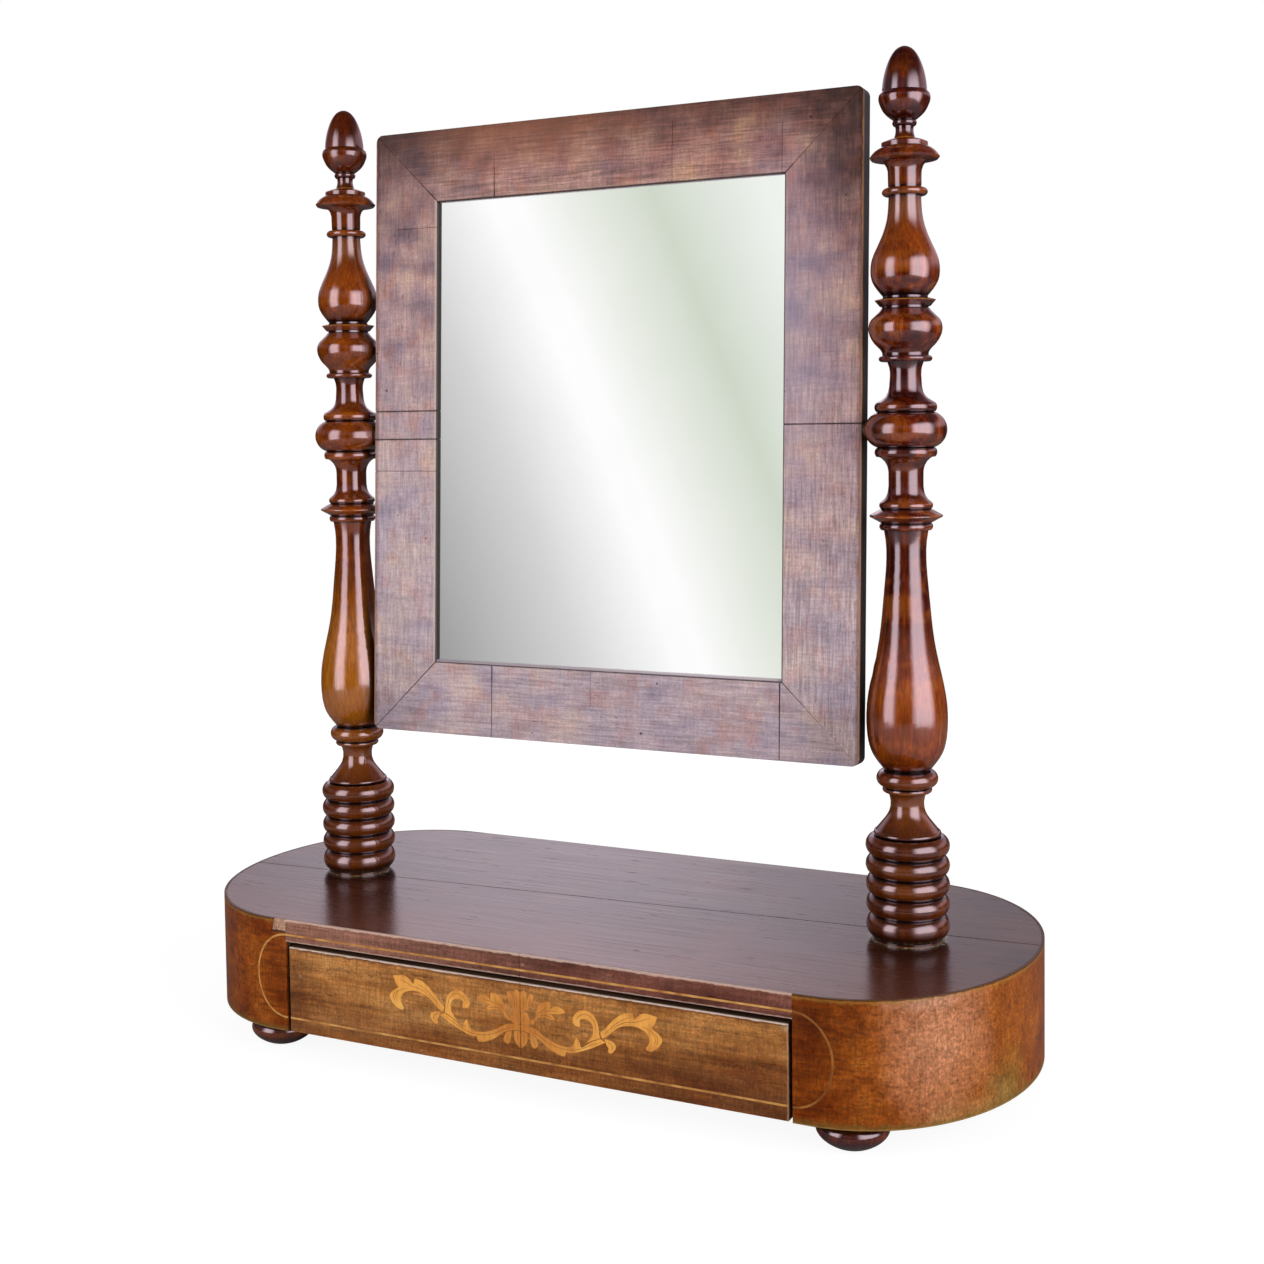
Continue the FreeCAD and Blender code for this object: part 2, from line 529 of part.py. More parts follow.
rounded_frame = block(-FRAME_HALF, FRAME_HALF, face_front, frame_back, frame_low, frame_top)
upright_corners = [edge for edge in rounded_frame.Edges if abs(edge.tangentAt(0).y) > 0.5]
rounded_frame = rounded_frame.makeFillet(FRAME_CORNER_RADIUS, upright_corners)
rebate_half = sight_half + REBATE_WIDTH
rebate_top = sight_top + REBATE_WIDTH
rebate_low = sight_low - REBATE_WIDTH
rebate = block(-rebate_half, rebate_half, glass_front, frame_back, rebate_low, rebate_top)

pin_start = Vector(FRAME_HALF - PIN_IN_FRAME, 0, PIVOT_LEVEL)
pin_hole = rod(PIN_RADIUS + PIN_PRESS_CLEARANCE, pin_start, Vector(1, 0, 0), PIN_IN_FRAME)
brads = []
for along in (-BRAD_SPREAD, BRAD_SPREAD):
    for start, inward in ((Vector(rebate_half, 0, frame_middle + along), Vector(-1, 0, 0)),
                          (Vector(-rebate_half, 0, frame_middle + along), Vector(1, 0, 0)),
                          (Vector(along, 0, rebate_top), Vector(0, 0, -1)),
                          (Vector(along, 0, rebate_low), Vector(0, 0, 1))):
        level = start + Vector(0, backing_back + BRAD_RADIUS, 0)
        brads.append(rod(BRAD_RADIUS, level - inward * (BRAD_LENGTH / 2), inward, BRAD_LENGTH))


def member(corners, y0, y1):
    """Mitred frame member between two planes, inside the frame's rounded outline."""
    points = [Vector(x, y0, z) for x, z in corners]
    prism = Part.Face(Part.makePolygon(points + points[:1])).extrude(Vector(0, y1 - y0, 0))
    return prism.common(rounded_frame)


MEMBERS = {
    "top_rail": ((-FRAME_HALF, frame_top), (FRAME_HALF, frame_top), (sight_half, sight_top),
                 (-sight_half, sight_top)),
    "bottom_rail": ((-FRAME_HALF, frame_low), (FRAME_HALF, frame_low), (sight_half, sight_low),
                    (-sight_half, sight_low)),
    "left_stile": ((-FRAME_HALF, frame_low), (-FRAME_HALF, frame_top), (-sight_half, sight_top),
                   (-sight_half, sight_low)),
    "right_stile": ((FRAME_HALF, frame_low), (FRAME_HALF, frame_top), (sight_half, sight_top),
                    (sight_half, sight_low)),
}


def opening_joint(sight_point, way, width):
    """Wedge through the face veneer: as wide as width at the sight edge, and closed at the end of way."""
    half_gap = way.cross(Vector(0, 1, 0)).normalize() * (width / 2)
    wedge = [sight_point + half_gap, sight_point + way, sight_point - half_gap]
    return Part.Face(Part.makePolygon(wedge + wedge[:1])).extrude(Vector(0, FACE_VENEER, 0))


# Open joints, shrinkage cracks and opened mitres of the face veneer
openings = {name: [] for name in MEMBERS}
for name, places in (("left_stile", LEFT_STILE_JOINTS), ("right_stile", RIGHT_STILE_JOINTS)):
    for place in places:
        level = frame_middle + place
        openings[name].append(block(-FRAME_HALF, FRAME_HALF, face_front, face_back,
                                    level - VENEER_JOINT / 2, level + VENEER_JOINT / 2))
for name, places, sight, outward in (("top_rail", TOP_RAIL_JOINTS, sight_top, 1),
                                     ("bottom_rail", BOTTOM_RAIL_JOINTS, sight_low, -1)):
    for place, reach in places:
        way = Vector(0, 0, outward * reach * RAIL_WIDTH)
        openings[name].append(opening_joint(Vector(place, face_front, sight), way, RAIL_JOINT))
for place, reach in TOP_RAIL_CRACKS:
    openings["top_rail"].append(block(place, place + VENEER_CRACK, face_front, face_back,
                                      sight_top, sight_top + reach * RAIL_WIDTH))
for place, reach in BOTTOM_RAIL_CRACKS:
    openings["bottom_rail"].append(block(place, place + VENEER_CRACK, face_front, face_back,
                                         sight_low - reach * RAIL_WIDTH, sight_low))
for place, reach in LEFT_STILE_CRACKS:
    openings["left_stile"].append(block(-sight_half - reach * STILE_WIDTH, -sight_half, face_front, face_back,
                                        frame_middle + place, frame_middle + place + VENEER_CRACK))
for side, stile, reaches in ((-1, "left_stile", LEFT_MITRE_REACHES), (1, "right_stile", RIGHT_MITRE_REACHES)):
    for rail_name, sight, outside, reach in (("top_rail", sight_top, frame_top, reaches[0]),
                                             ("bottom_rail", sight_low, frame_low, reaches[1])):
        inner_corner = Vector(side * sight_half, face_front, sight)
        along = Vector(side * FRAME_HALF, face_front, outside) - inner_corner
        mitre = opening_joint(inner_corner, along * reach, MITRE_GAP)
        openings[stile].append(mitre)
        openings[rail_name].append(mitre)

mirror_body = {}
for name, corners in MEMBERS.items():
    bar = member(corners, face_back, frame_back).cut(rebate)
    bar = bar.cut(pin_hole).cut(mirrored(pin_hole))
    for brad in brads:
        bar = bar.cut(brad)
    mirror_body["frame_" + name] = bar
    veneer = member(corners, face_front, face_back)
    for opening in openings[name]:
        veneer = veneer.cut(opening)
    mirror_body["frame_" + name + "_veneer"] = veneer

plate_half = rebate_half - GLASS_PLAY
plate_top = rebate_top - GLASS_PLAY
plate_low = rebate_low + GLASS_PLAY
mirror_body["mirror_glass"] = block(-plate_half, plate_half, glass_front, glass_back, plate_low, plate_top)
mirror_body["glass_backing"] = block(-plate_half, plate_half, glass_back, backing_back, plate_low, plate_top)
mirror_body["backing_brads"] = Part.makeCompound(brads)

right_pin = rod(PIN_RADIUS, pin_start, Vector(1, 0, 0), PIN_IN_FRAME + SEAT_X - FRAME_HALF + PIN_IN_POST)
washer_start = Vector(FRAME_HALF + WASHER_PLAY, 0, PIVOT_LEVEL)
washer = rod(WASHER_RADIUS, washer_start, Vector(1, 0, 0), WASHER_THICKNESS)
washer = washer.cut(rod(PIN_RADIUS + PIN_RUNNING_CLEARANCE, washer_start, Vector(1, 0, 0), WASHER_THICKNESS))
for side, place in (("right", lambda piece: piece), ("left", mirrored)):
    mirror_body[side + "_pivot_pin"] = place(right_pin)
    mirror_body[side + "_pivot_washer"] = place(washer)

for name, piece in mirror_body.items():
    leaned = piece.copy()
    leaned.rotate(Vector(0, 0, PIVOT_LEVEL), Vector(1, 0, 0), -REST_TILT)
    nodes[name] = leaned

# Drawer front with its book-matched facings and stringing
face_low = BOX_BOTTOM + DRAWER_FLOOR_GAP
core_front = DRAWER_FRONT + DRAWER_VENEER
drawer_string = block(-DRAWER_HALF, DRAWER_HALF, DRAWER_FRONT, DRAWER_FRONT + STRING_DEPTH,
                      DRAWER_STRING_LEVEL - STRING_WIDTH / 2, DRAWER_STRING_LEVEL + STRING_WIDTH / 2)
nodes["drawer_stringing"] = drawer_string
facing = block(BOOK_MATCH_GAP / 2, DRAWER_HALF, DRAWER_FRONT, core_front, face_low, DRAWER_FACE_TOP)
add_pair("drawer_facing_{}", facing.cut(drawer_string))

# Drawer box: dovetailed sides, a grooved-in bottom nailed to the back
floor_low = DRAWER_SIDE_LOW + DRAWER_BOTTOM_RISE
floor_top = floor_low + DRAWER_BOTTOM_THICKNESS
back_top = DRAWER_SIDE_TOP - DRAWER_BACK_DROP
inner_half = DRAWER_HALF - DRAWER_WALL
floor_half = inner_half + DRAWER_GROOVE
drawer_floor = block(-floor_half, floor_half, DRAWER_FACE_BACK - DRAWER_GROOVE, DRAWER_END,
                     floor_low, floor_top)


def dovetail(root, tip, level):
    """Tail on the right side board, from its root to its wider tip along Y."""
    points = [Vector(inner_half, root, level - TAIL_WIDTH / 2 + TAIL_SLOPE),
              Vector(inner_half, root, level + TAIL_WIDTH / 2 - TAIL_SLOPE),
              Vector(inner_half, tip, level + TAIL_WIDTH / 2),
              Vector(inner_half, tip, level - TAIL_WIDTH / 2)]
    return Part.Face(Part.makePolygon(points + points[:1])).extrude(Vector(DRAWER_WALL, 0, 0))


drawer_front = block(-DRAWER_HALF, DRAWER_HALF, core_front, DRAWER_FACE_BACK, face_low, DRAWER_FACE_TOP)
drawer_back = block(-DRAWER_HALF, DRAWER_HALF, DRAWER_END - DRAWER_WALL, DRAWER_END, floor_top, back_top)
tail_pitch = (back_top - floor_top) / TAIL_COUNT
for tail in range(TAIL_COUNT):
    tail_level = floor_top + (tail + 0.5) * tail_pitch
    front_tail = dovetail(DRAWER_FACE_BACK, DRAWER_FACE_BACK - TAIL_LENGTH, tail_level)
    back_tail = dovetail(DRAWER_END - DRAWER_WALL, DRAWER_END, tail_level)
    drawer_front = drawer_front.cut(front_tail).cut(mirrored(front_tail))
    drawer_back = drawer_back.cut(back_tail).cut(mirrored(back_tail))
drawer_front = drawer_front.cut(drawer_floor)
drawer_side = block(inner_half, DRAWER_HALF, DRAWER_FACE_BACK - TAIL_LENGTH, DRAWER_END,
                    DRAWER_SIDE_LOW, DRAWER_SIDE_TOP)
drawer_side = drawer_side.cut(drawer_front).cut(drawer_back).cut(drawer_floor)

nails = []
for x in (-NAIL_SPACING, 0, NAIL_SPACING):
    foot_of_nail = Vector(x, DRAWER_END - DRAWER_WALL / 2, floor_low - NAIL_HEAD_HEIGHT)
    head = rod(NAIL_HEAD_RADIUS, foot_of_nail, Vector(0, 0, 1), NAIL_HEAD_HEIGHT)
    nails.append(head.fuse(rod(NAIL_RADIUS, foot_of_nail, Vector(0, 0, 1), NAIL_LENGTH)).removeSplitter())
for nail in nails:
    drawer_back = drawer_back.cut(nail)
    drawer_floor = drawer_floor.cut(nail)

nodes["drawer_front"] = drawer_front
nodes["drawer_back"] = drawer_back
nodes["drawer_bottom"] = drawer_floor
nodes["drawer_bottom_nails"] = Part.makeCompound(nails)
add_pair("drawer_{}_side", drawer_side)

os.makedirs("parts", exist_ok=True)
for name, shape in sorted(nodes.items()):
    shape.exportStep("parts/" + name + ".step")
    print(name, len(shape.Solids), "solids", round(shape.Volume / 1000, 2), "cm3", shape.isValid())
print("pivot level", round(PIVOT_LEVEL, 2), "post top", round(POST_TOP, 2))
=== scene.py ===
# %% [markdown]
# # A table mirror with a drawer
# This lesson dresses a finished CAD model of an old table mirror: a veneered frame that swings between two
# turned posts, on a round-ended base with one drawer. The solids already have the right shapes and places, so
# the work here is the inlay on the drawer, the small signs of age, the finishes, the light and the camera.

# %% Load the solids
import math
import bpy
from mathutils import Matrix, Vector


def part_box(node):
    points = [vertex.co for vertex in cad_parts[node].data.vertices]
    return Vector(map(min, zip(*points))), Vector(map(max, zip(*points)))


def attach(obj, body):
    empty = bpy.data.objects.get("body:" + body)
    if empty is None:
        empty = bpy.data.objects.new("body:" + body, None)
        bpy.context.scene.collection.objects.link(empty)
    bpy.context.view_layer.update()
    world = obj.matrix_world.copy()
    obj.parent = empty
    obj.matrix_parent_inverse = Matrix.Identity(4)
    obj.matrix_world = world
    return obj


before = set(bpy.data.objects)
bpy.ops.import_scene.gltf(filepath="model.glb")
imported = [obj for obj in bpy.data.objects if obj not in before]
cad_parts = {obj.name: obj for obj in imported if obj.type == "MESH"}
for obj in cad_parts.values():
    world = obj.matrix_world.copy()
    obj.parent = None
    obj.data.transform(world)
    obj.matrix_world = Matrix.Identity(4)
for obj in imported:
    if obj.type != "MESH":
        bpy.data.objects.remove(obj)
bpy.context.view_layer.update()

MM = 0.001

# %% [markdown]
# ## The camera
# The photograph was taken from the right, a little above the middle of the mirror. Its lens and place come from
# the outlines of the base, the posts and the frame. The picture is square, so the sensor is square too, and a
# small downward shift puts the object where it stands in the frame.

# %% The camera
IMAGE_PIXELS = 1264
FOCAL_PIXELS = 1656.03
SENSOR_MM = 36.0
SHIFT_DOWN = 0.0930
TURN_DEGREES, DROP_DEGREES, ROLL_DEGREES = 25.9435, 3.0202, -0.7455
CAMERA_MM = (485.8, -960.89, 402.07)
camera_data = bpy.data.cameras.new("camera")
camera_data.sensor_width = SENSOR_MM
camera_data.lens = FOCAL_PIXELS / IMAGE_PIXELS * SENSOR_MM
camera_data.shift_y = -SHIFT_DOWN
camera = bpy.data.objects.new("camera", camera_data)
bpy.context.scene.collection.objects.link(camera)
turned = Matrix.Rotation(math.radians(TURN_DEGREES), 4, "Z")
lowered = Matrix.Rotation(math.radians(90 - DROP_DEGREES), 4, "X")
rolled = Matrix.Rotation(math.radians(ROLL_DEGREES), 4, "Z")
camera.matrix_world = Matrix.Translation(Vector(CAMERA_MM) * MM) @ turned @ lowered @ rolled
bpy.context.scene.camera = camera
print("camera lens:", round(camera_data.lens, 2), "mm")

# %% [markdown]
# ## Two small helpers for node trees
# Every finish below is a tree of nodes. Colours are written as the hex values a paint program shows, and one
# function turns them into the linear numbers that the renderer works with. The other function adds one node:
# its properties come by name, and its sockets get a number, a colour or the output of an earlier node. Sockets
# 1 and 2 of a Map Range node are where its range starts and ends, and 3 and 4 are the values there. Sockets 6
# and 7 of a Mix node are its two colours.

# %% Colour and node helpers
def linear(hex_code, alpha=1.0):
    """sRGB hex to the linear colour that shaders use."""
    channels = [int(hex_code[i:i + 2], 16) / 255 for i in (1, 3, 5)]
    return [c / 12.92 if c <= 0.04045 else ((c + 0.055) / 1.055) ** 2.4 for c in channels] + [alpha]


def put(near, kind, values=None, stops=(), **settings):
    """Adds a node to a tree, or to the tree that a socket is in; settings are its properties, stops the
    colours of a ramp, and values go to its sockets."""
    tree = near.id_data
    node = tree.nodes.new("ShaderNode" + kind)
    for name, setting in settings.items():
        setattr(node, name, setting)
    for number, (place, hex_code) in enumerate(stops):
        ramp = node.color_ramp.elements
        stop = ramp[number] if number < 2 else ramp.new(1.0)
        stop.position = place
        stop.color = linear(hex_code)
    for socket, value in (values or {}).items():
        if isinstance(value, bpy.types.NodeSocket):
            tree.links.new(value, node.inputs[socket])
        else:
            node.inputs[socket].default_value = value
    return node


print("white in linear numbers:", linear("#FFFFFF"))

# %% [markdown]
# ## Floor, lamps and the studio around them
# The object stands on a plain pale floor in soft light from two tall softboxes: a narrow one at the front left
# and a wide one at the right. Their faces fade towards the rim, as cloth in front of a lamp does, so the two
# highlights on the turned posts have soft borders. The background is plain white to the camera. Polished wood
# sees a studio that is bright behind the object and dim elsewhere, so the top of the base shines and the posts
# keep their depth. The glass of the real one shows a soft grey-white-green sweep. It stands in front of the
# mirror for perfectly smooth surfaces only, which the light path calls singular rays; on all others it would lie
# as a veil. From other sides the glass shows a plain grey room. A photographer would keep the left softbox out of
# the glass with a black flag; here light linking does that. A weak fill comes from behind, for the back.

# %% The floor
FLOOR_SIZE = 2.6
# The paper glows to the camera, more so far from its middle (in metres).
FLOOR_GLOW = {1: 0.4, 2: 1.0, 3: 1.84, 4: 2.1}
GLOW_SHARE = 0.5
bpy.ops.object.select_all(action="DESELECT")
bpy.ops.mesh.primitive_plane_add(size=FLOOR_SIZE, location=(0, 0, 0))
floor = bpy.context.object
floor.name = "floor"
# Matt white paper: even and without a gloss, it takes the object's shadow.
paper = bpy.data.materials.new("floor_paper")
paper.use_nodes = True
tree = paper.node_tree
tree.nodes.clear()
rays = put(tree, "LightPath")
lit = put(tree, "BsdfDiffuse", {"Color": linear("#989898")})
away = put(tree, "VectorMath", {0: put(tree, "TexCoord").outputs["Object"]}, operation="LENGTH")
paler = put(tree, "MapRange", {"Value": away.outputs["Value"], **FLOOR_GLOW})
glow = put(tree, "Emission", {"Color": linear("#FFFFFF"), "Strength": paler.outputs[0]})
seen = put(tree, "Math", {0: rays.outputs["Is Camera Ray"], 1: GLOW_SHARE}, operation="MULTIPLY")
surface = put(tree, "MixShader", {0: seen.outputs[0], 1: lit.outputs[0], 2: glow.outputs[0]})
put(tree, "OutputMaterial", {"Surface": surface.outputs[0]})
floor.data.materials.append(paper)
print("floor:", tuple(floor.dimensions))

# %% The lamps
LAMP_LEVEL = 0.55
# From the middle of a lamp's face to its rim, as shares of its width
LAMP_FADE = {1: 0.2, 2: 0.5, 3: 1.0, 4: 0.0}


def softbox(name, place, width, height, radiance):
    """Tall area lamp that faces the object; radiance is how bright its middle is, with white paper at 1."""
    lamp = bpy.data.lights.new(name, "AREA")
    lamp.shape = "RECTANGLE"
    lamp.size = width
    lamp.size_y = height
    lamp.energy = radiance * math.pi * width * height
    lamp.use_nodes = True
    tree = lamp.node_tree
    face = put(tree, "VectorMath", {0: put(tree, "NewGeometry").outputs["Parametric"], 1: (0.5, 0.5, 0)},
               operation="SUBTRACT")
    unsigned = put(tree, "VectorMath", {0: face.outputs[0]}, operation="ABSOLUTE")
    apart = put(tree, "SeparateXYZ", {0: unsigned.outputs[0]})
    fades = [put(tree, "MapRange", {"Value": apart.outputs[side], **LAMP_FADE},
                 interpolation_type="SMOOTHSTEP").outputs[0] for side in ("X", "Y")]
    fade = put(tree, "Math", {0: fades[0], 1: fades[1]}, operation="MULTIPLY")
    tree.links.new(fade.outputs[0], tree.nodes["Emission"].inputs["Strength"])
    lamp_object = bpy.data.objects.new(name, lamp)
    bpy.context.scene.collection.objects.link(lamp_object)
    spot = Vector(place)
    aim = Vector((0, 0, spot.z)) - spot
    facing = aim.to_track_quat("-Z", "Y").to_matrix().to_4x4()
    lamp_object.matrix_world = Matrix.Translation(spot) @ facing
    lamp_object.visible_camera = False
    print(name, "energy", round(lamp.energy, 1))
    return lamp_object


left_softbox = softbox("left_softbox", (-0.58, -1.06, LAMP_LEVEL), 1.0, 2.0, 3.4)
softbox("right_softbox", (1.30, -0.50, LAMP_LEVEL), 2.0, 2.0, 3.7)
flagged = bpy.data.collections.new("flagged_from_left_softbox")
flagged.objects.link(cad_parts["mirror_glass"])
flagged.collection_objects[0].light_linking.link_state = "EXCLUDE"
left_softbox.light_linking.receiver_collection = flagged

# %% The studio
# Ranges over a unit direction: X to the right, Y to behind the object, Z up.
WALL_RISES = {1: 0.06, 2: 0.24, 3: 0.10, 4: 1.8}
WALL_ENDS = {1: 0.36, 2: 0.55, 3: 1.0, 4: 0.12}
WALL_MIDDLE = -0.46
WALL_NARROWS = {1: 0.0, 2: 0.26, 3: 1.0, 4: 0.42}
ONLY_BEHIND = {1: 0.1, 2: 0.5, 3: 0.22, 4: 1.0}
ROSE_SHARES = (1.0, 0.85, 0.96)
SWEEP_IN_FRONT = {1: -0.78, 2: -0.70, 3: 1.0, 4: 0.0}
SWEEP_X, SWEEP_Z, SWEEP_START = 2.338, 0.820, 1.476
SWEEP = ((0.0, "#606060"), (0.19, "#A3A3A3"), (0.345, "#D6D6D6"), (0.465, "#FFFFFF"), (0.50, "#FFFFFF"),
         (0.575, "#EBEEE7"), (0.67, "#D1D9CB"), (0.815, "#F1F4F0"), (0.87, "#F1F4F0"), (0.97, "#C4C8C4"))
ROOM = ((0.0, "#A2A4A2"), (0.8, "#E4E6E4"))
BACK_FILL = {1: 0.2, 2: 0.8, 3: 0.18, 4: 0.7}
world = bpy.data.worlds.new("studio")
bpy.context.scene.world = world
world.use_nodes = True
tree = world.node_tree
tree.nodes.clear()
towards = put(tree, "SeparateXYZ", {0: put(tree, "TexCoord").outputs["Generated"]})
right, back, up = (towards.outputs[axis] for axis in "XYZ")
rise = put(tree, "MapRange", {"Value": up, **WALL_RISES}, interpolation_type="SMOOTHSTEP")
ceiling = put(tree, "MapRange", {"Value": up, **WALL_ENDS}, interpolation_type="SMOOTHSTEP")
beside = put(tree, "Math", {0: right, 1: WALL_MIDDLE}, operation="SUBTRACT")
aside = put(tree, "Math", {0: beside.outputs[0]}, operation="ABSOLUTE")
fall = put(tree, "MapRange", {"Value": aside.outputs[0], **WALL_NARROWS}, interpolation_type="SMOOTHSTEP")
behind = put(tree, "MapRange", {"Value": back, **ONLY_BEHIND})
level = rise.outputs[0]
for share in (ceiling, fall, behind):
    level = put(tree, "Math", {0: level, 1: share.outputs[0]}, operation="MULTIPLY").outputs[0]
rosy = [put(tree, "Math", {0: level, 1: share}, operation="MULTIPLY").outputs[0] for share in ROSE_SHARES]
wall = put(tree, "CombineColor", dict(enumerate(rosy)))
sweep_x = put(tree, "Math", {0: right, 1: SWEEP_X, 2: SWEEP_START}, operation="MULTIPLY_ADD")
sweep = put(tree, "Math", {0: up, 1: SWEEP_Z, 2: sweep_x.outputs[0]}, operation="MULTIPLY_ADD")
ramp = put(tree, "ValToRGB", {0: sweep.outputs[0]}, stops=SWEEP)
room = put(tree, "ValToRGB", {0: up}, stops=ROOM)
in_front = put(tree, "MapRange", {"Value": back, **SWEEP_IN_FRONT}, interpolation_type="SMOOTHSTEP")
in_glass = put(tree, "Mix", {0: in_front.outputs[0], 6: room.outputs[0], 7: ramp.outputs[0]}, data_type="RGBA")
rays = put(tree, "LightPath")
mirrored = put(tree, "Mix", {0: rays.outputs["Is Singular Ray"], 6: wall.outputs[0], 7: in_glass.outputs[2]},
               data_type="RGBA")
fill = put(tree, "MapRange", {"Value": back, **BACK_FILL})
soft = put(tree, "Mix", {0: rays.outputs["Is Glossy Ray"], 6: fill.outputs[0], 7: mirrored.outputs[2]},
           data_type="RGBA")
clear = put(tree, "Math", {0: rays.outputs["Is Camera Ray"], 1: rays.outputs["Is Transmission Ray"]},
            operation="MAXIMUM")
shown = put(tree, "Mix", {0: clear.outputs[0], 6: soft.outputs[2], 7: linear("#FFFFFF")}, data_type="RGBA")
backdrop = put(tree, "Background", {"Color": shown.outputs[2], "Strength": 1.0})
put(tree, "OutputWorld", {"Surface": backdrop.outputs[0]})
bpy.context.scene.view_settings.view_transform = "Standard"
print("studio nodes:", len(tree.nodes))

# %% [markdown]
# ## What all the woods share
# Old polished wood is never one colour. It has slow clouds, as wide as a finger or a hand, from the log and
# from uneven stain, and fine grain lines along the fibres. Both are noise: the clouds are even in all directions,
# and the grain is the same noise drawn out along one axis. Sizes are given in millimetres and turned into scales.
# The pores of walnut are a fifth of a millimetre wide, less than a pixel of the picture, so the finest lines and
# specks are drawn 1.2 to 2 mm wide, as coarse as they need to be to show. Marks of use sit at known places, such
# as an edge or a corner, so their masks measure the distance to it: a stripe lies along a level, a blot round
# a point.

# %% Wood helpers
ROUND = (1, 1, 1)


def start_finish(name, roughness, ior=1.5):
    """A new material; returns it with its tree, its shader and the place of each point in metres."""
    material = bpy.data.materials.new(name)
    material.use_nodes = True
    tree = material.node_tree
    shader = tree.nodes["Principled BSDF"]
    shader.inputs["Roughness"].default_value = roughness
    shader.inputs["IOR"].default_value = ior
    return material, tree, shader, put(tree, "TexCoord").outputs["Object"]


def clouds(place, size_mm, detail=3.0, shift=0.0):
    """Slow changes of tone about as wide as size_mm; shift gives another part of the same noise."""
    moved = put(place, "Mapping", {"Vector": place, "Location": (shift, shift, shift)})
    return put(place, "TexNoise", {"Vector": moved.outputs[0], "Scale": 1 / (size_mm * MM),
                                   "Detail": detail}).outputs[0]


def grain(place, axis, line_mm, length_mm, detail=4.0):
    """Lines along one axis, about line_mm apart and length_mm long."""
    scale = [1 / (line_mm * MM)] * 3
    scale["XYZ".index(axis)] = 1 / (length_mm * MM)
    drawn_out = put(place, "Mapping", {"Vector": place, "Scale": scale})
    return put(place, "TexNoise", {"Vector": drawn_out.outputs[0], "Scale": 1.0, "Detail": detail,
                                   "Roughness": 0.65}).outputs[0]


def shade(colour, pattern, low, high, darkest, lightest):
    """Multiplies a colour by a pattern, mapped from low..high to darkest..lightest."""
    factor = put(colour, "MapRange", {"Value": pattern, 1: low, 2: high, 3: darkest, 4: lightest}).outputs[0]
    grey = put(colour, "CombineColor", {0: factor, 1: factor, 2: factor})
    return put(colour, "Mix", {0: 1.0, 6: colour, 7: grey.outputs[0]}, data_type="RGBA",
               blend_type="MULTIPLY").outputs[2]


def lay_over(colour, hex_code, pattern, start, full, strength=1.0, blend="MIX"):
    """Lays a colour over another: not at all where the pattern is at start, by strength where it is at full."""
    amount = put(colour, "MapRange", {"Value": pattern, 1: start, 2: full, 3: 0.0, 4: strength})
    return put(colour, "Mix", {0: amount.outputs[0], 6: colour, 7: linear(hex_code)}, data_type="RGBA",
               blend_type=blend).outputs[2]


def shaken(distance, rough, ragged_mm):
    """A distance made uneven by a noise, for borders that aren't clean lines."""
    shake = put(distance, "Math", {0: rough, 1: 0.5}, operation="SUBTRACT")
    return put(distance, "Math", {0: shake.outputs[0], 1: 2 * ragged_mm * MM, 2: distance},
               operation="MULTIPLY_ADD").outputs[0]


def shaken_place(place, ragged_mm):
    """The place of each point pushed about by a noise, for lines that wander."""
    push = put(place, "TexNoise", {"Vector": place, "Scale": 1 / (ragged_mm * MM), "Detail": 3.0})
    return put(place, "VectorMath", {0: push.outputs["Color"], 1: (ragged_mm * MM,) * 3, 2: place},
               operation="MULTIPLY_ADD").outputs[0]


def off_level(coordinate, level, rough, ragged_mm):
    """How far a point is from one level of a coordinate, shaken."""
    away = put(coordinate, "Math", {0: coordinate, 1: level}, operation="SUBTRACT")
    apart = put(coordinate, "Math", {0: away.outputs[0]}, operation="ABSOLUTE")
    return shaken(apart.outputs[0], rough, ragged_mm)


def off_point(place, centre, rough, ragged_mm, squeeze=ROUND):
    """How far a point is from a centre, shaken; squeeze counts an axis more or less."""
    from_centre = put(place, "VectorMath", {0: place, 1: centre}, operation="SUBTRACT")
    squeezed = put(place, "VectorMath", {0: from_centre.outputs[0], 1: squeeze}, operation="MULTIPLY")
    away = put(place, "VectorMath", {0: squeezed.outputs[0]}, operation="LENGTH")
    return shaken(away.outputs["Value"], rough, ragged_mm)


def stripe(colour, coordinate, rough, level, start_mm, full_mm, ragged_mm, hex_code, strength,
           blend="MIX"):
    """Lays a colour along one level of a coordinate: none at start_mm from it, by strength at full_mm."""
    away = off_level(coordinate, level, rough, ragged_mm)
    return lay_over(colour, hex_code, away, start_mm * MM, full_mm * MM, strength, blend)


def blot(colour, place, rough, centre, start_mm, full_mm, ragged_mm, squeeze, hex_code, strength,
         blend="MIX"):
    """Lays a colour round a centre in the same way."""
    away = off_point(place, centre, rough, ragged_mm, squeeze)
    return lay_over(colour, hex_code, away, start_mm * MM, full_mm * MM, strength, blend)


def folded(at):
    """X without its sign, and the place with that X, so that one mark serves both sides."""
    sideways = put(at, "Math", {0: at.outputs["X"]}, operation="ABSOLUTE").outputs[0]
    place = put(at, "CombineXYZ", {0: sideways, 1: at.outputs["Y"], 2: at.outputs["Z"]})
    return sideways, place.outputs[0]


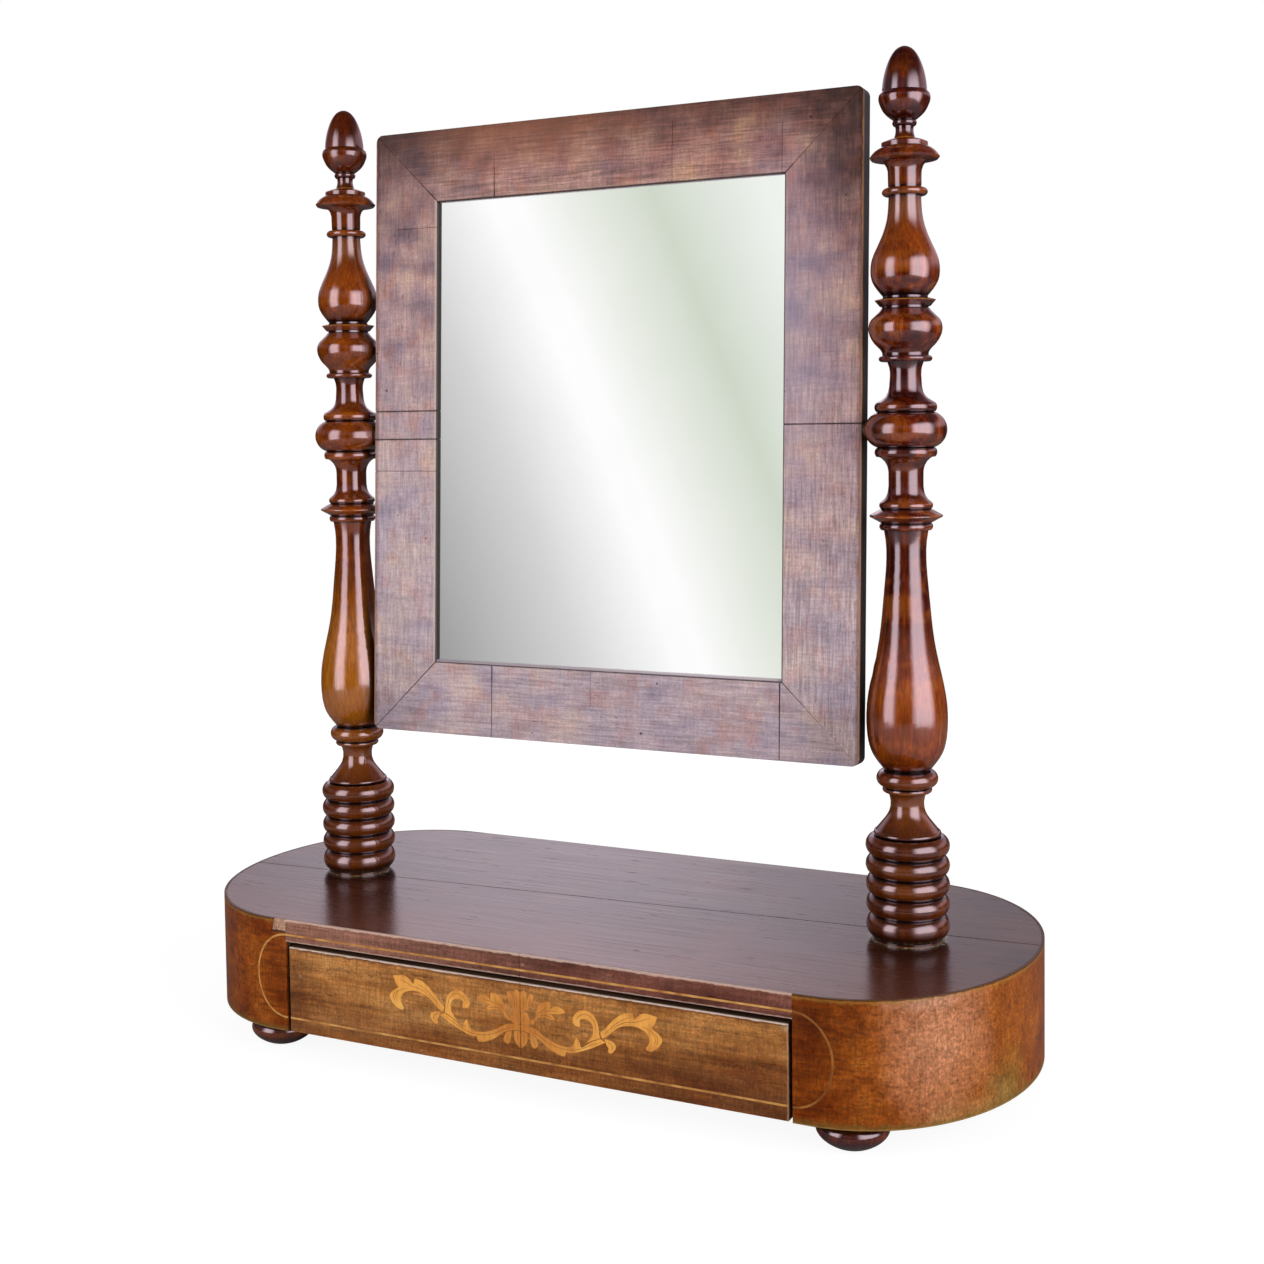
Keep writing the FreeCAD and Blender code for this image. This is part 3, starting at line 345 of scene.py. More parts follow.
def end_finish(shader, colour, height, depth_mm, strength=0.5, edge_mm=0.0, gloss=None):
    """Gives the shader its colour. A pattern raises and sinks the surface a little, and edges catch the
    light as if rounded. gloss: a pattern, and the roughness where it is low and where it is high."""
    tree = colour.id_data
    tree.links.new(colour, shader.inputs["Base Color"])
    if gloss:
        pattern, low, high = gloss
        uneven = put(tree, "MapRange", {"Value": pattern, 1: 0.3, 2: 0.7, 3: low, 4: high})
        tree.links.new(uneven.outputs[0], shader.inputs["Roughness"])
    bump = put(tree, "Bump", {"Height": height, "Distance": depth_mm * MM, "Strength": strength})
    if edge_mm:
        rounded = put(tree, "Bevel", {"Radius": edge_mm * MM}, samples=4)
        tree.links.new(rounded.outputs[0], bump.inputs["Normal"])
    tree.links.new(bump.outputs[0], shader.inputs["Normal"])


def dress(material, *names):
    """Gives a finish to CAD nodes by name."""
    for name in names:
        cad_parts[name].material_slots[0].material = material
    print(material.name, "on", len(names))


# %% [markdown]
# ## The frame's veneer
# The face of the frame is walnut, laid in short leaves. It is a warm brown at the top. Further down it turns to a
# pale, mauve haze, partly bloomed polish and partly a painted sheen of the bright light low in front, and bluish
# bands of dark figure lie across it at a slant. Fine lines cross it both ways. Small pits, dirt along the open
# joints, a dark stained corner at the upper right and thin rubbed edges finish it. A dark line along the glass is
# painted shade in the gap there.

# %% Frame veneer
stile, top_rail, low_rail = (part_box("frame_%s_veneer" % member)
                             for member in ("right_stile", "top_rail", "bottom_rail"))
FRAME_LOW, FRAME_HIGH = low_rail[0].z, top_rail[1].z
FRAME_FACE, FRAME_SIDE = stile[0].y, stile[1].x
SIGHT_LOW, SIGHT_HIGH, SIGHT_SIDE = low_rail[1].z, top_rail[0].z, stile[0].x
FRAME_MIDDLE = (FRAME_LOW + FRAME_HIGH) / 2
WARM_WALNUT = ((0.32, "#7A4842"), (0.44, "#976860"), (0.56, "#AB7D70"), (0.68, "#C0947C"))
HAZY_WALNUT = ((0.32, "#AA98A6"), (0.44, "#B8A3AC"), (0.56, "#C3ABAE"), (0.68, "#CEB3AC"))
# The haze, bloomed polish and a painted sheen together, begins just under the top edge and is full low on the
# frame, a little higher at its left.
BLOOM_AND_SHEEN_SLOPE = (0.25, 0, 1)
BLOOM_AND_SHEEN = {1: FRAME_HIGH - 0.01, 2: FRAME_LOW + 0.11, 3: 0.0, 4: 1.0}
# Streaks of figure, about 55 mm long and 13 mm wide
FIGURE_SCALE = (18, 18, 75)
# Blots: centre, start mm, full mm, ragged mm, squeeze, colour, strength, blend
BLUE_FLANK = ((SIGHT_SIDE, FRAME_FACE, FRAME_HIGH - 0.14), 60, 12, 14, (1.2, 1, 0.42), "#A29AB4", 0.5)
DARK_CORNER = ((FRAME_SIDE, FRAME_FACE, FRAME_HIGH), 62, 8, 18, (1.2, 1, 0.75), "#54403C", 0.85, "MULTIPLY")
CORNER_SMEAR = ((FRAME_SIDE - 0.015, FRAME_FACE, FRAME_HIGH - 0.05), 55, 10, 16, (1.8, 1, 1), "#8C90A8", 0.8,
                "MULTIPLY")
LEFT_CORNER = ((-FRAME_SIDE, FRAME_FACE, FRAME_HIGH), 85, 20, 18, ROUND, "#B4AAB0", 0.9, "MULTIPLY")
RUSSET_PATCH = ((-0.06, FRAME_FACE, FRAME_HIGH - 0.008), 55, 10, 20, (0.55, 1, 1.4), "#A4603C", 0.45)
LOW_CORNERS = ((FRAME_SIDE, FRAME_FACE, FRAME_LOW), 65, 12, 18, ROUND, "#CACCD6", 0.9, "MULTIPLY")
# Stripes: level, start mm, full mm, ragged mm, colour, strength, blend
TOP_EDGE = (FRAME_HIGH, 32, 1, 6, "#7E5A4C", 0.85, "MULTIPLY")
SIDE_DIRT = (FRAME_SIDE, 3.5, 1.2, 1.2, "#8E6A5A", 0.6, "MULTIPLY")
SIDE_RUBBED = (FRAME_SIDE, 0.9, 0.4, 1.2, "#B07A4C", 0.7)
# Lines along the inner edge, a pale one and a dark one of painted shade in the gap by the glass: where they
# start and are full, in metres from it
SIGHT_PALE, SIGHT_GAP_SHADE = (0.0026, 0.0018), (0.0009, 0.0004)


def bloomed_walnut(name, axis, cross_axis, lean_degrees, crisp, worn_sight, joints, bands=()):
    """Veneer of one frame member; crisp is how strong its fine lines are, worn_sight how pale its inner edge
    is, and joints the levels along the axis where dirt sits beside an open joint. bands: dark stripes of
    figure, each through two points (x, z in mm), with half its width in mm and its strength."""
    # Walnut veneer under old, bloomed shellac: brown seen through a pale haze, half matt. Low on the frame the
    # haze is partly a painted sheen.
    material, tree, shader, place = start_finish(name, 0.4, 1.25)
    at = put(tree, "SeparateXYZ", {0: place})
    broad = clouds(place, 26, 7.0)
    warm = put(tree, "ValToRGB", {0: broad}, stops=WARM_WALNUT)
    hazy = put(tree, "ValToRGB", {0: broad}, stops=HAZY_WALNUT)
    # Paler and more mauve lower down: bloom, and a painted sheen of the bright light low in front.
    slope = put(tree, "VectorMath", {0: place, 1: BLOOM_AND_SHEEN_SLOPE}, operation="DOT_PRODUCT")
    bloom_and_sheen = put(tree, "MapRange", {"Value": slope.outputs["Value"], **BLOOM_AND_SHEEN})
    colour = put(tree, "Mix", {0: bloom_and_sheen.outputs[0], 6: warm.outputs[0], 7: hazy.outputs[0]},
                 data_type="RGBA").outputs[2]
    leaned = put(tree, "Mapping", {"Vector": place, "Rotation": (0, math.radians(lean_degrees), 0),
                                   "Scale": FIGURE_SCALE})
    figure = put(tree, "TexNoise", {"Vector": leaned.outputs[0], "Scale": 1.0, "Detail": 8.0,
                                    "Roughness": 0.65, "Distortion": 0.4}).outputs[0]
    colour = lay_over(colour, "#C8CEE2", figure, 0.52, 0.68, 0.55, "MULTIPLY")
    for start, end, half_mm, strength in bands:
        across = (Vector(end) - Vector(start)).orthogonal().normalized()
        height = put(tree, "VectorMath", {0: place, 1: (across.x, 0, across.y)}, operation="DOT_PRODUCT")
        level = across.dot(Vector(start)) * MM
        colour = stripe(colour, height.outputs["Value"], broad, level, half_mm, 0, 12, "#B2B8CE",
                        strength, "MULTIPLY")
    rusty = clouds(place, 13, 7.0, 3.7)
    colour = lay_over(colour, "#B4643C", rusty, 0.50, 0.70, 0.3)
    smoky = clouds(place, 17, 7.0, 8.2)
    colour = lay_over(colour, "#7E7890", smoky, 0.54, 0.72, 0.14)
    # Pores and the scraper's cross marks, finer on the real wood.
    lines = grain(place, axis, 1.3, 26, 3.0)
    colour = shade(colour, lines, 0.34, 0.66, 1 - 0.23 * crisp, 1 + 0.18 * crisp)
    crossing = grain(place, cross_axis, 1.5, 16, 3.0)
    colour = shade(colour, crossing, 0.34, 0.66, 1 - 0.09 * crisp, 1 + 0.08 * crisp)
    speckle = clouds(place, 1.5, 2.0)
    colour = shade(colour, speckle, 0.34, 0.66, 0.89, 1.10)
    nicks = grain(place, axis, 1.4, 9, 2.0)
    colour = lay_over(colour, "#3A2320", nicks, 0.67, 0.75, 0.6)
    pits = put(tree, "TexVoronoi", {"Vector": place, "Scale": 1 / (21 * MM)}).outputs["Distance"]
    colour = lay_over(colour, "#2A1512", pits, 0.05, 0.03, 0.85)
    fine = clouds(place, 7, 6.0)
    for mark in (BLUE_FLANK, DARK_CORNER, CORNER_SMEAR, LEFT_CORNER):
        colour = blot(colour, place, fine, *mark)
    colour = stripe(colour, at.outputs["Z"], fine, *TOP_EDGE)
    colour = blot(colour, place, fine, *RUSSET_PATCH)
    sideways, one_side = folded(at)
    colour = blot(colour, one_side, fine, *LOW_CORNERS)
    for mark in (SIDE_DIRT, SIDE_RUBBED):
        colour = stripe(colour, sideways, fine, *mark)
    off_side = put(tree, "Math", {0: sideways, 1: SIGHT_SIDE}, operation="SUBTRACT")
    off_top = put(tree, "Math", {0: at.outputs["Z"], 1: SIGHT_HIGH}, operation="SUBTRACT")
    off_low = put(tree, "Math", {0: SIGHT_LOW, 1: at.outputs["Z"]}, operation="SUBTRACT")
    off_rail = put(tree, "Math", {0: off_top.outputs[0], 1: off_low.outputs[0]}, operation="MAXIMUM")
    off_sight = put(tree, "Math", {0: off_side.outputs[0], 1: off_rail.outputs[0]},
                    operation="MAXIMUM").outputs[0]
    colour = lay_over(colour, "#CDBBB0", off_sight, *SIGHT_PALE, worn_sight)
    # A dark line along the glass: painted shade in the gap.
    colour = lay_over(colour, "#2E1A18", off_sight, *SIGHT_GAP_SHADE, 0.85)
    for level in joints:
        colour = stripe(colour, at.outputs[axis], fine, level, 0.9, 0.3, 0.5, "#3A2422", 0.5)
    end_finish(shader, colour, lines, 0.1, 0.4, 0.8, (broad, 0.3, 0.46))
    return material


LEFT_BANDS = (((-169, 546), (-123, 524), 12, 0.6), ((-167, 517), (-123, 508), 8, 0.6),
              ((-170, 499), (-124, 479), 9, 0.35), ((-157, 462), (-125, 465), 5, 0.2))
RIGHT_BANDS = (((130, 497), (161, 506), 9, 0.5), ((131, 471), (150, 464), 9, 0.35),
               ((131, 450), (160, 448), 6, 0.4))
RAIL_BANDS = (((-109, 591), (-126, 566), 7, 0.4), ((-150, 588), (-116, 570), 10, 0.5))
LEFT_JOINTS = (FRAME_MIDDLE + 0.0145, FRAME_MIDDLE - 0.0047)
RIGHT_JOINTS = (FRAME_MIDDLE + 0.0022,)
STILE_LEAN, RAIL_LEAN = 24, 62
dress(bloomed_walnut("bloomed_walnut_left", "Z", "X", STILE_LEAN, 1.0, 0.6, LEFT_JOINTS, LEFT_BANDS),
      "frame_left_stile_veneer")
dress(bloomed_walnut("bloomed_walnut_right", "Z", "X", STILE_LEAN, 1.3, 0.1, RIGHT_JOINTS, RIGHT_BANDS),
      "frame_right_stile_veneer")
dress(bloomed_walnut("bloomed_walnut_top", "X", "Z", RAIL_LEAN, 1.6, 0.1, (), RAIL_BANDS),
      "frame_top_rail_veneer")
dress(bloomed_walnut("bloomed_walnut_low", "X", "Z", RAIL_LEAN, 1.0, 0.1, ()), "frame_bottom_rail_veneer")

# %% [markdown]
# Behind the veneer the frame is softwood, stained so dark that it looks like slate where its side shows. Round
# the glass it is painted black, as shade in the gap there, and a pale line on the lower ledge is dust and a
# painted highlight of its lit top. The back was left raw, as on most such frames. The frame leans, so the mask
# for that asks which way a face points, not how far back it lies.

# %% Stained frame sides
DARK_PINE = ((0.3, "#191516"), (0.5, "#272123"), (0.7, "#3E3638"))
RAW_PINE = ((0.3, "#4C3826"), (0.5, "#6E543A"), (0.7, "#8A6E50"))
FACES_BACK = {1: 0.7, 2: 0.9}
# Pine stained nearly black: dull, and the grain only just shows.
material, tree, shader, place = start_finish("dark_stained_pine", 0.5)
at = put(tree, "SeparateXYZ", {0: place})
lines = grain(place, "Z", 1.6, 80)
colour = put(tree, "ValToRGB", {0: lines}, stops=DARK_PINE).outputs[0]
colour = shade(colour, clouds(place, 35), 0.35, 0.65, 0.75, 1.25)
sideways = put(tree, "Math", {0: at.outputs["X"]}, operation="ABSOLUTE").outputs[0]
# Black round the glass: painted shade in the gap.
colour = stripe(colour, sideways, lines, SIGHT_SIDE, 1.0, 0.5, 0.2, "#0B080A", 0.9)
# A pale line on the lower ledge: dust, and a painted highlight of its lit top.
past_sight = put(tree, "Math", {0: sideways, 1: SIGHT_SIDE}, operation="SUBTRACT")
off_ledge = off_level(at.outputs["Z"], SIGHT_LOW, lines, 0.2)
ledge_dust_and_highlight = put(tree, "Math", {0: off_ledge, 1: past_sight.outputs[0]}, operation="MAXIMUM").outputs[0]
colour = lay_over(colour, "#D8CEDA", ledge_dust_and_highlight, 0.001, 0.0005, 0.8)
raw = put(tree, "ValToRGB", {0: lines}, stops=RAW_PINE)
facing = put(tree, "SeparateXYZ", {0: put(tree, "TexCoord").outputs["Normal"]})
behind = put(tree, "MapRange", {"Value": facing.outputs["Y"], **FACES_BACK})
colour = put(tree, "Mix", {0: behind.outputs[0], 6: colour, 7: raw.outputs[0]}, data_type="RGBA").outputs[2]
end_finish(shader, colour, lines, 0.15, 0.5, 0.6)
dress(material, "frame_left_stile", "frame_right_stile", "frame_top_rail", "frame_bottom_rail")

# %% [markdown]
# ## The mirror glass
# Silvered glass is a metal layer behind glass. Seen from the front it acts as a near-perfect mirror, so the
# shader is metallic and without roughness. Old silvering has faint clouds. A pale rim lies along the edge, most
# of it at the bottom: dust, and a painted highlight of the lit ledge beside it. The rim is no metal, so there
# the metallic value falls.

# %% Mirror glass
DUST_AND_HIGHLIGHT_FULL, DUST_AND_HIGHLIGHT_END = 0.0013, 0.0019
THINNER_BY = 0.0008
# Silvered glass: a clear mirror image, faintly greyed, with a pale rim of dust and painted highlight.
material, tree, shader, place = start_finish("silvered_glass", 0.0)
colour = put(tree, "ValToRGB", {0: clouds(place, 60)},
             stops=((0.35, "#FBFCFB"), (0.65, "#FEFEFE"))).outputs[0]
at = put(tree, "SeparateXYZ", {0: place})
drift = clouds(place, 8)
# A pale rim along the edge, widest at the bottom: dust, and a painted highlight of the lit ledge.
dust_and_highlight = off_level(at.outputs["Z"], SIGHT_LOW, drift, 0.3)
for coordinate, level in (("X", SIGHT_SIDE), ("Z", SIGHT_HIGH)):
    rim = off_level(at.outputs[coordinate], level, drift, 0.2)
    thinner = put(tree, "Math", {0: rim, 1: THINNER_BY}, operation="ADD")
    dust_and_highlight = put(tree, "Math", {0: dust_and_highlight, 1: thinner.outputs[0]}, operation="MINIMUM").outputs[0]
colour = lay_over(colour, "#E2D3DA", dust_and_highlight, DUST_AND_HIGHLIGHT_END, DUST_AND_HIGHLIGHT_FULL)
tree.links.new(colour, shader.inputs["Base Color"])
silver = put(tree, "MapRange", {"Value": dust_and_highlight, 1: DUST_AND_HIGHLIGHT_FULL, 2: DUST_AND_HIGHLIGHT_END, 3: 0.3, 4: 1.0})
tree.links.new(silver.outputs[0], shader.inputs["Metallic"])
dress(material, "mirror_glass")

# %% [markdown]
# ## The turned wood
# Posts, finials and feet are turned walnut under thick, glossy shellac. The grooves, the hollows by other parts
# and the thin necks are darker: dark polish has gathered there, and painted shade is added. The sharp edges of
# the rings are lighter amber, rubbed and with a painted highlight, and the fuller members are warmer. The left
# post is the more amber one. The grooves and edges are found with short ambient-occlusion rays, outside and
# inside the wood, and the necks by how near the surface is to the post's own axis.

# %% Turned wood
POST_X = (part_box("right_post")[0].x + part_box("right_post")[1].x) / 2
VASE_BELLY = 0.235
RED_WALNUT = ((0.32, "#300A02"), (0.45, "#521703"), (0.58, "#782B06"), (0.70, "#A2520F"))
# Blots and stripes, as on the frame; a level is its height over the table in metres.
LEFT_VASE = ((-POST_X, 0, VASE_BELLY), 45, 10, 16, (0.4, 0, 0.6), "#BE7820", 0.5)
RIGHT_BALL = ((POST_X, 0, 0.405), 50, 30, 8, (0.4, 0, 1), "#B8947C", 0.5, "MULTIPLY")
THIN_NECK_POLISH_AND_SHADE = ((POST_X, 0, 0), 17.5, 10, 0, (1, 1, 0), "#8E6244", 0.6, "MULTIPLY")
VASE = (VASE_BELLY, 60, 0, 14, "#9E4C14", 0.5)
BULB = (0.512, 26, 0, 14, "#9E4C14", 0.5)
SHOULDER = (0.530, 12, 2, 8, "#AC7222", 0.5)
FINIALS = (0.602, 34, 24, 0, "#A88878", 0.6, "MULTIPLY")
REEDS = (0.122, 48, 36, 0, "#4C2609", 0.6)
NECK = (0.176, 18, 6, 6, "#83491C", 0.6)
HOLLOW_REACH, GROOVE_REACH, CREST_REACH = 0.012, 0.004, 0.0016
# Walnut under thick shellac: deep red-brown, with highlights as clear as on glass.
material, tree, shader, place = start_finish("shellacked_turned_walnut", 0.15, 2.1)
shader.inputs["Specular Tint"].default_value = linear("#FFE6F2")
at = put(tree, "SeparateXYZ", {0: place})
up = at.outputs["Z"]
streak = grain(place, "Z", 5, 120)
colour = put(tree, "ValToRGB", {0: streak}, stops=RED_WALNUT).outputs[0]
belts = grain(place, "X", 16, 80, 2.0)
colour = lay_over(colour, "#A6560E", belts, 0.50, 0.66, 0.6)
colour = lay_over(colour, "#3A0E05", belts, 0.48, 0.36, 0.6)
colour = lay_over(colour, "#A2520A", at.outputs["X"], 0.0, -0.05, 0.3)
for mark in (VASE, BULB):
    colour = stripe(colour, up, belts, *mark)
colour = blot(colour, place, belts, *LEFT_VASE)
colour = stripe(colour, up, belts, *SHOULDER)
colour = blot(colour, place, belts, *RIGHT_BALL)
colour = stripe(colour, up, belts, *FINIALS)
# Pores, finer on the real wood.
fine = grain(place, "Z", 1.3, 18, 2.0)
colour = shade(colour, fine, 0.34, 0.66, 0.72, 1.25)
colour = stripe(colour, up, belts, *REEDS)
one_side = folded(at)[1]
# Thin necks darker: dark polish, and painted shade.
colour = blot(colour, one_side, belts, *THIN_NECK_POLISH_AND_SHADE)
colour = stripe(colour, up, belts, *NECK)
# Darker in hollows and grooves: dark polish, and painted shade.
hollow_polish_and_shade = put(tree, "AmbientOcclusion", {"Distance": HOLLOW_REACH}, samples=8).outputs["AO"]
colour = lay_over(colour, "#1C0703", hollow_polish_and_shade, 0.95, 0.58, 0.85)
groove_polish_and_shade = put(tree, "AmbientOcclusion", {"Distance": GROOVE_REACH}, samples=8, only_local=True).outputs["AO"]
colour = lay_over(colour, "#0A0403", groove_polish_and_shade, 0.84, 0.55, 0.95)
# Ring edges lighter amber: rubbed wear, and a painted highlight.
crest_wear_and_highlight = put(tree, "AmbientOcclusion", {"Distance": CREST_REACH}, samples=6, only_local=True,
            inside=True).outputs["AO"]
colour = lay_over(colour, "#CC8630", crest_wear_and_highlight, 0.66, 0.3, 0.75)
smear = clouds(place, 12, 5.0)
combed = put(tree, "Math", {0: fine, 1: 0.2, 2: smear}, operation="MULTIPLY_ADD").outputs[0]
end_finish(shader, colour, combed, 0.3, 0.3, gloss=(smear, 0.08, 0.19))
dress(material, *[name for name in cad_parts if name.endswith(("_post", "_finial", "_foot"))])

# %% [markdown]
# ## The top of the base
# Two dark boards with the grain along the base, wiped and polished for a century: nearly black-brown wood under
# a gloss that mirrors the studio at this low angle, and the posts as dark bands. There are a dent, short
# scratches, and a crust of pale wax and dirt round the foot of each post.

# %% Top boards
BOARD_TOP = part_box("top_board_front")[1].z
POST_FOOT_RADIUS = 0.0225
CRUST_END = POST_FOOT_RADIUS + 0.0035
BLACK_WALNUT = ((0.32, "#200C06"), (0.5, "#36170E"), (0.68, "#502A1B"))
FRONT_ZONE = (-0.03, -0.11)
WAX_FLECKS = {1: 0.62, 2: 0.50, 3: 0.0, 4: 0.004}
POLISH = {1: 0.3, 2: 0.7, 3: 0.15, 4: 0.30}
SCRATCHED = {1: 0.66, 2: 0.74, 3: 0.0, 4: 0.2}
DENT = ((0.0912, -0.0789, BOARD_TOP), 6, 2, 2, (0.7, 1.2, 1), "#0C0503", 0.9)
# Dark walnut under a rubbed polish: nearly black from above, a grey mirror at a low angle.
material, tree, shader, place = start_finish("polished_dark_walnut", 0.22)
at = put(tree, "SeparateXYZ", {0: place})
broad = clouds(place, 55, 4.0)
colour = put(tree, "ValToRGB", {0: broad}, stops=BLACK_WALNUT).outputs[0]
lines = grain(place, "X", 1.6, 110)
colour = shade(colour, lines, 0.32, 0.68, 0.55, 1.45)
fine = clouds(place, 5, 5.0)
front_zone = shaken(at.outputs["Y"], broad, 30)
colour = lay_over(colour, "#7C4838", front_zone, *FRONT_ZONE, 0.4)
colour = blot(colour, place, fine, *DENT)
one_side = folded(at)[1]
crust = off_point(one_side, (POST_X, 0, BOARD_TOP), fine, 4)
colour = lay_over(colour, "#4A4430", crust, CRUST_END, POST_FOOT_RADIUS, 0.8)
wax = clouds(place, 2.4, 3.0, 5.1)
flecks = put(tree, "MapRange", {"Value": wax, **WAX_FLECKS})
flecked = put(tree, "Math", {0: crust, 1: flecks.outputs[0]}, operation="ADD").outputs[0]
colour = lay_over(colour, "#B9B79A", flecked, CRUST_END, POST_FOOT_RADIUS, 0.75)
polish = put(tree, "MapRange", {"Value": lines, **POLISH})
scratches = grain(place, "X", 2.2, 22, 2.0)
scratched = put(tree, "MapRange", {"Value": scratches, **SCRATCHED})
dulled = put(tree, "Math", {0: polish.outputs[0], 1: scratched.outputs[0]}, operation="ADD")
tree.links.new(dulled.outputs[0], shader.inputs["Roughness"])
end_finish(shader, colour, lines, 0.12, 0.22, 0.7)
dress(material, "top_board_front", "top_board_rear")

# %% [markdown]
# ## The veneers of the base
# The rail over the drawer is reddish, the drawer a golden brown with dark patches, and the bent veneer of the
# round ends a strong orange-brown. All have fine upright lines. Along the edges the veneer is rubbed pale,
# raggedly, so the masks follow the edges' own levels with a noise that shakes them; on the rail's top edge the
# pale line is also a painted highlight. A few blots are the places where hands and cloths have rubbed or dirt
# has stayed. Others are painted highlights: a pale one on the left of the rail, and on the right end a pale
# patch in its middle and a pale spot on its top edge.

# %% Rail facings
BASE_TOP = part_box("rail_facing_left")[1].z
BASE_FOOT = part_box("right_end_veneer")[0].z
BASE_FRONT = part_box("right_end_veneer")[0].y
RAIL_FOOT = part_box("rail_facing_left")[0].z
DRAWER_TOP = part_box("drawer_facing_left")[1].z
DRAWER_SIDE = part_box("drawer_facing_right")[1].x


def base_veneer(name, stops, cloud_mm, long_mm, blots, edges, ior=1.4):
    """Veneer of the base, with clouds drawn out along X and its own blots and edge marks.
    blots: (centre, start mm, full mm, ragged mm, squeeze, colour, strength, blend).
    edges: (axis, level, start mm, colour, strength, blend). No blend means MIX."""
    # Thin walnut veneer under a worn polish: brown, streaked along the base, with a silky gloss.
    material, tree, shader, place = start_finish(name, 0.36, ior)
    at = put(tree, "SeparateXYZ", {0: place})
    broad = grain(place, "X", cloud_mm, long_mm, 6.0)
    colour = put(tree, "ValToRGB", {0: broad}, stops=stops).outputs[0]
    fine = clouds(place, 4, 5.0)
    rough = clouds(place, 18, 6.0, 2.3)
    for mark in blots:
        colour = blot(colour, place, rough, *mark)
    mottle = grain(place, "X", 5, 11, 6.0)
    colour = shade(colour, mottle, 0.34, 0.66, 0.84, 1.14)
    streaks = grain(place, "X", 1.9, 40)
    colour = shade(colour, streaks, 0.36, 0.64, 0.72, 1.22)
    # Pores and specks, finer on the real wood.
    lines = grain(place, "Z", 1.4, 9)
    colour = shade(colour, lines, 0.36, 0.64, 0.80, 1.17)
    dark_streaks = grain(shaken_place(place, 9), "X", 2.2, 55, 2.0)
    colour = lay_over(colour, "#4A2610", dark_streaks, 0.58, 0.68, 0.45)
    speckle = clouds(place, 1.5, 2.0)
    colour = shade(colour, speckle, 0.34, 0.66, 0.82, 1.18)
    scuffs = put(tree, "TexVoronoi", {"Vector": place, "Scale": 1 / (23 * MM)}).outputs["Distance"]
    colour = lay_over(colour, "#C09878", scuffs, 0.055, 0.035, 0.4)
    for axis, level, start_mm, *tint in edges:
        full_mm, ragged_mm = 0.5 * start_mm, 0.7 * start_mm
        colour = stripe(colour, at.outputs[axis], fine, level, start_mm, full_mm, ragged_mm, *tint)
    end_finish(shader, colour, lines, 0.1, 0.35, 0.6, (broad, 0.26, 0.44))
    return material


RED_BROWN = ((0.32, "#54291E"), (0.46, "#6C3A2D"), (0.58, "#7E493A"), (0.70, "#946050"))
# Paler towards the left of the rail: a painted highlight.
RAIL_PAINTED_HIGHLIGHT = (((-0.17, BASE_FRONT, BASE_TOP), 200, 60, 30, (1, 0, 0), "#B07C66", 0.5),)
# The pale top edge: rubbed wear, and a painted highlight of the rounded arris.
RAIL_EDGES = (("Z", BASE_TOP, 1.4, "#DDB9A8", 0.8), ("Z", RAIL_FOOT, 0.9, "#D6B4A6", 0.6))
dress(base_veneer("rail_walnut", RED_BROWN, 12, 50, RAIL_PAINTED_HIGHLIGHT, RAIL_EDGES),
      "rail_facing_left", "rail_facing_right")

# %% Drawer facings
DRAWER_MIDDLE_Z = (DRAWER_TOP + BASE_FOOT) / 2
GOLDEN_BROWN = ((0.30, "#985A26"), (0.43, "#AA6C32"), (0.55, "#BC7E40"), (0.68, "#CC9250"))
DRAWER_BLOTS = (
    ((0, BASE_FRONT, BASE_FOOT), 34, 14, 8, (0, 0, 1), "#C4B2AC", 0.85, "MULTIPLY"),
    ((0.14, BASE_FRONT, BASE_FOOT + 0.012), 62, 16, 14, (0.6, 1, 1.4), "#C4ACA4", 0.75, "MULTIPLY"),
    ((-0.165, BASE_FRONT, DRAWER_MIDDLE_Z), 26, 4, 14, (1, 1, 0.5), "#B09884", 0.7, "MULTIPLY"),
    ((DRAWER_SIDE, BASE_FRONT, DRAWER_TOP), 5, 2, 3, ROUND, "#DDBA92", 0.8),
)
DRAWER_EDGES = (("Z", DRAWER_TOP, 2.6, "#9C7C62", 0.7, "MULTIPLY"), ("Z", DRAWER_TOP, 0.9, "#E8D3C6", 0.9),
                ("X", DRAWER_SIDE, 0.9, "#D0AA86", 0.4), ("Z", BASE_FOOT, 0.9, "#B87E40", 0.7))
dress(base_veneer("drawer_walnut", GOLDEN_BROWN, 12, 60, DRAWER_BLOTS, DRAWER_EDGES),
      "drawer_facing_left", "drawer_facing_right")

# %% End veneers
ORANGE_BROWN = ((0.30, "#662604"), (0.43, "#7C3606"), (0.55, "#90460C"), (0.68, "#A65C1E"))
END_BLOTS_AND_HIGHLIGHTS = (
    ((0.256, -0.074, 0.060), 92, 50, 14, ROUND, "#B4682A", 0.35),
    # Pale patch in the middle of the right end: a painted highlight of the right lamp.
    ((0.243, -0.088, 0.066), 42, 2, 14, (1, 1, 0.7), "#D49470", 0.7),
    # Pale spot on the right end's top edge: a painted highlight.
    ((0.238, -0.094, BASE_TOP), 30, 6, 8, (1, 1, 3), "#D8B09C", 0.35),
    ((0.262, -0.066, BASE_FOOT), 30, 4, 26, (0.7, 0.7, 1.5), "#B48A52", 0.6),
    ((0.185, BASE_FRONT, 0.075), 34, 8, 14, (1, 1, 1.2), "#8C6A50", 0.6, "MULTIPLY"),
    ((0.272, -0.045, 0.028), 26, 6, 14, ROUND, "#6E6A2E", 0.4),
    ((-0.200, BASE_FRONT, 0.058), 32, 6, 14, ROUND, "#A8560C", 0.4),
)
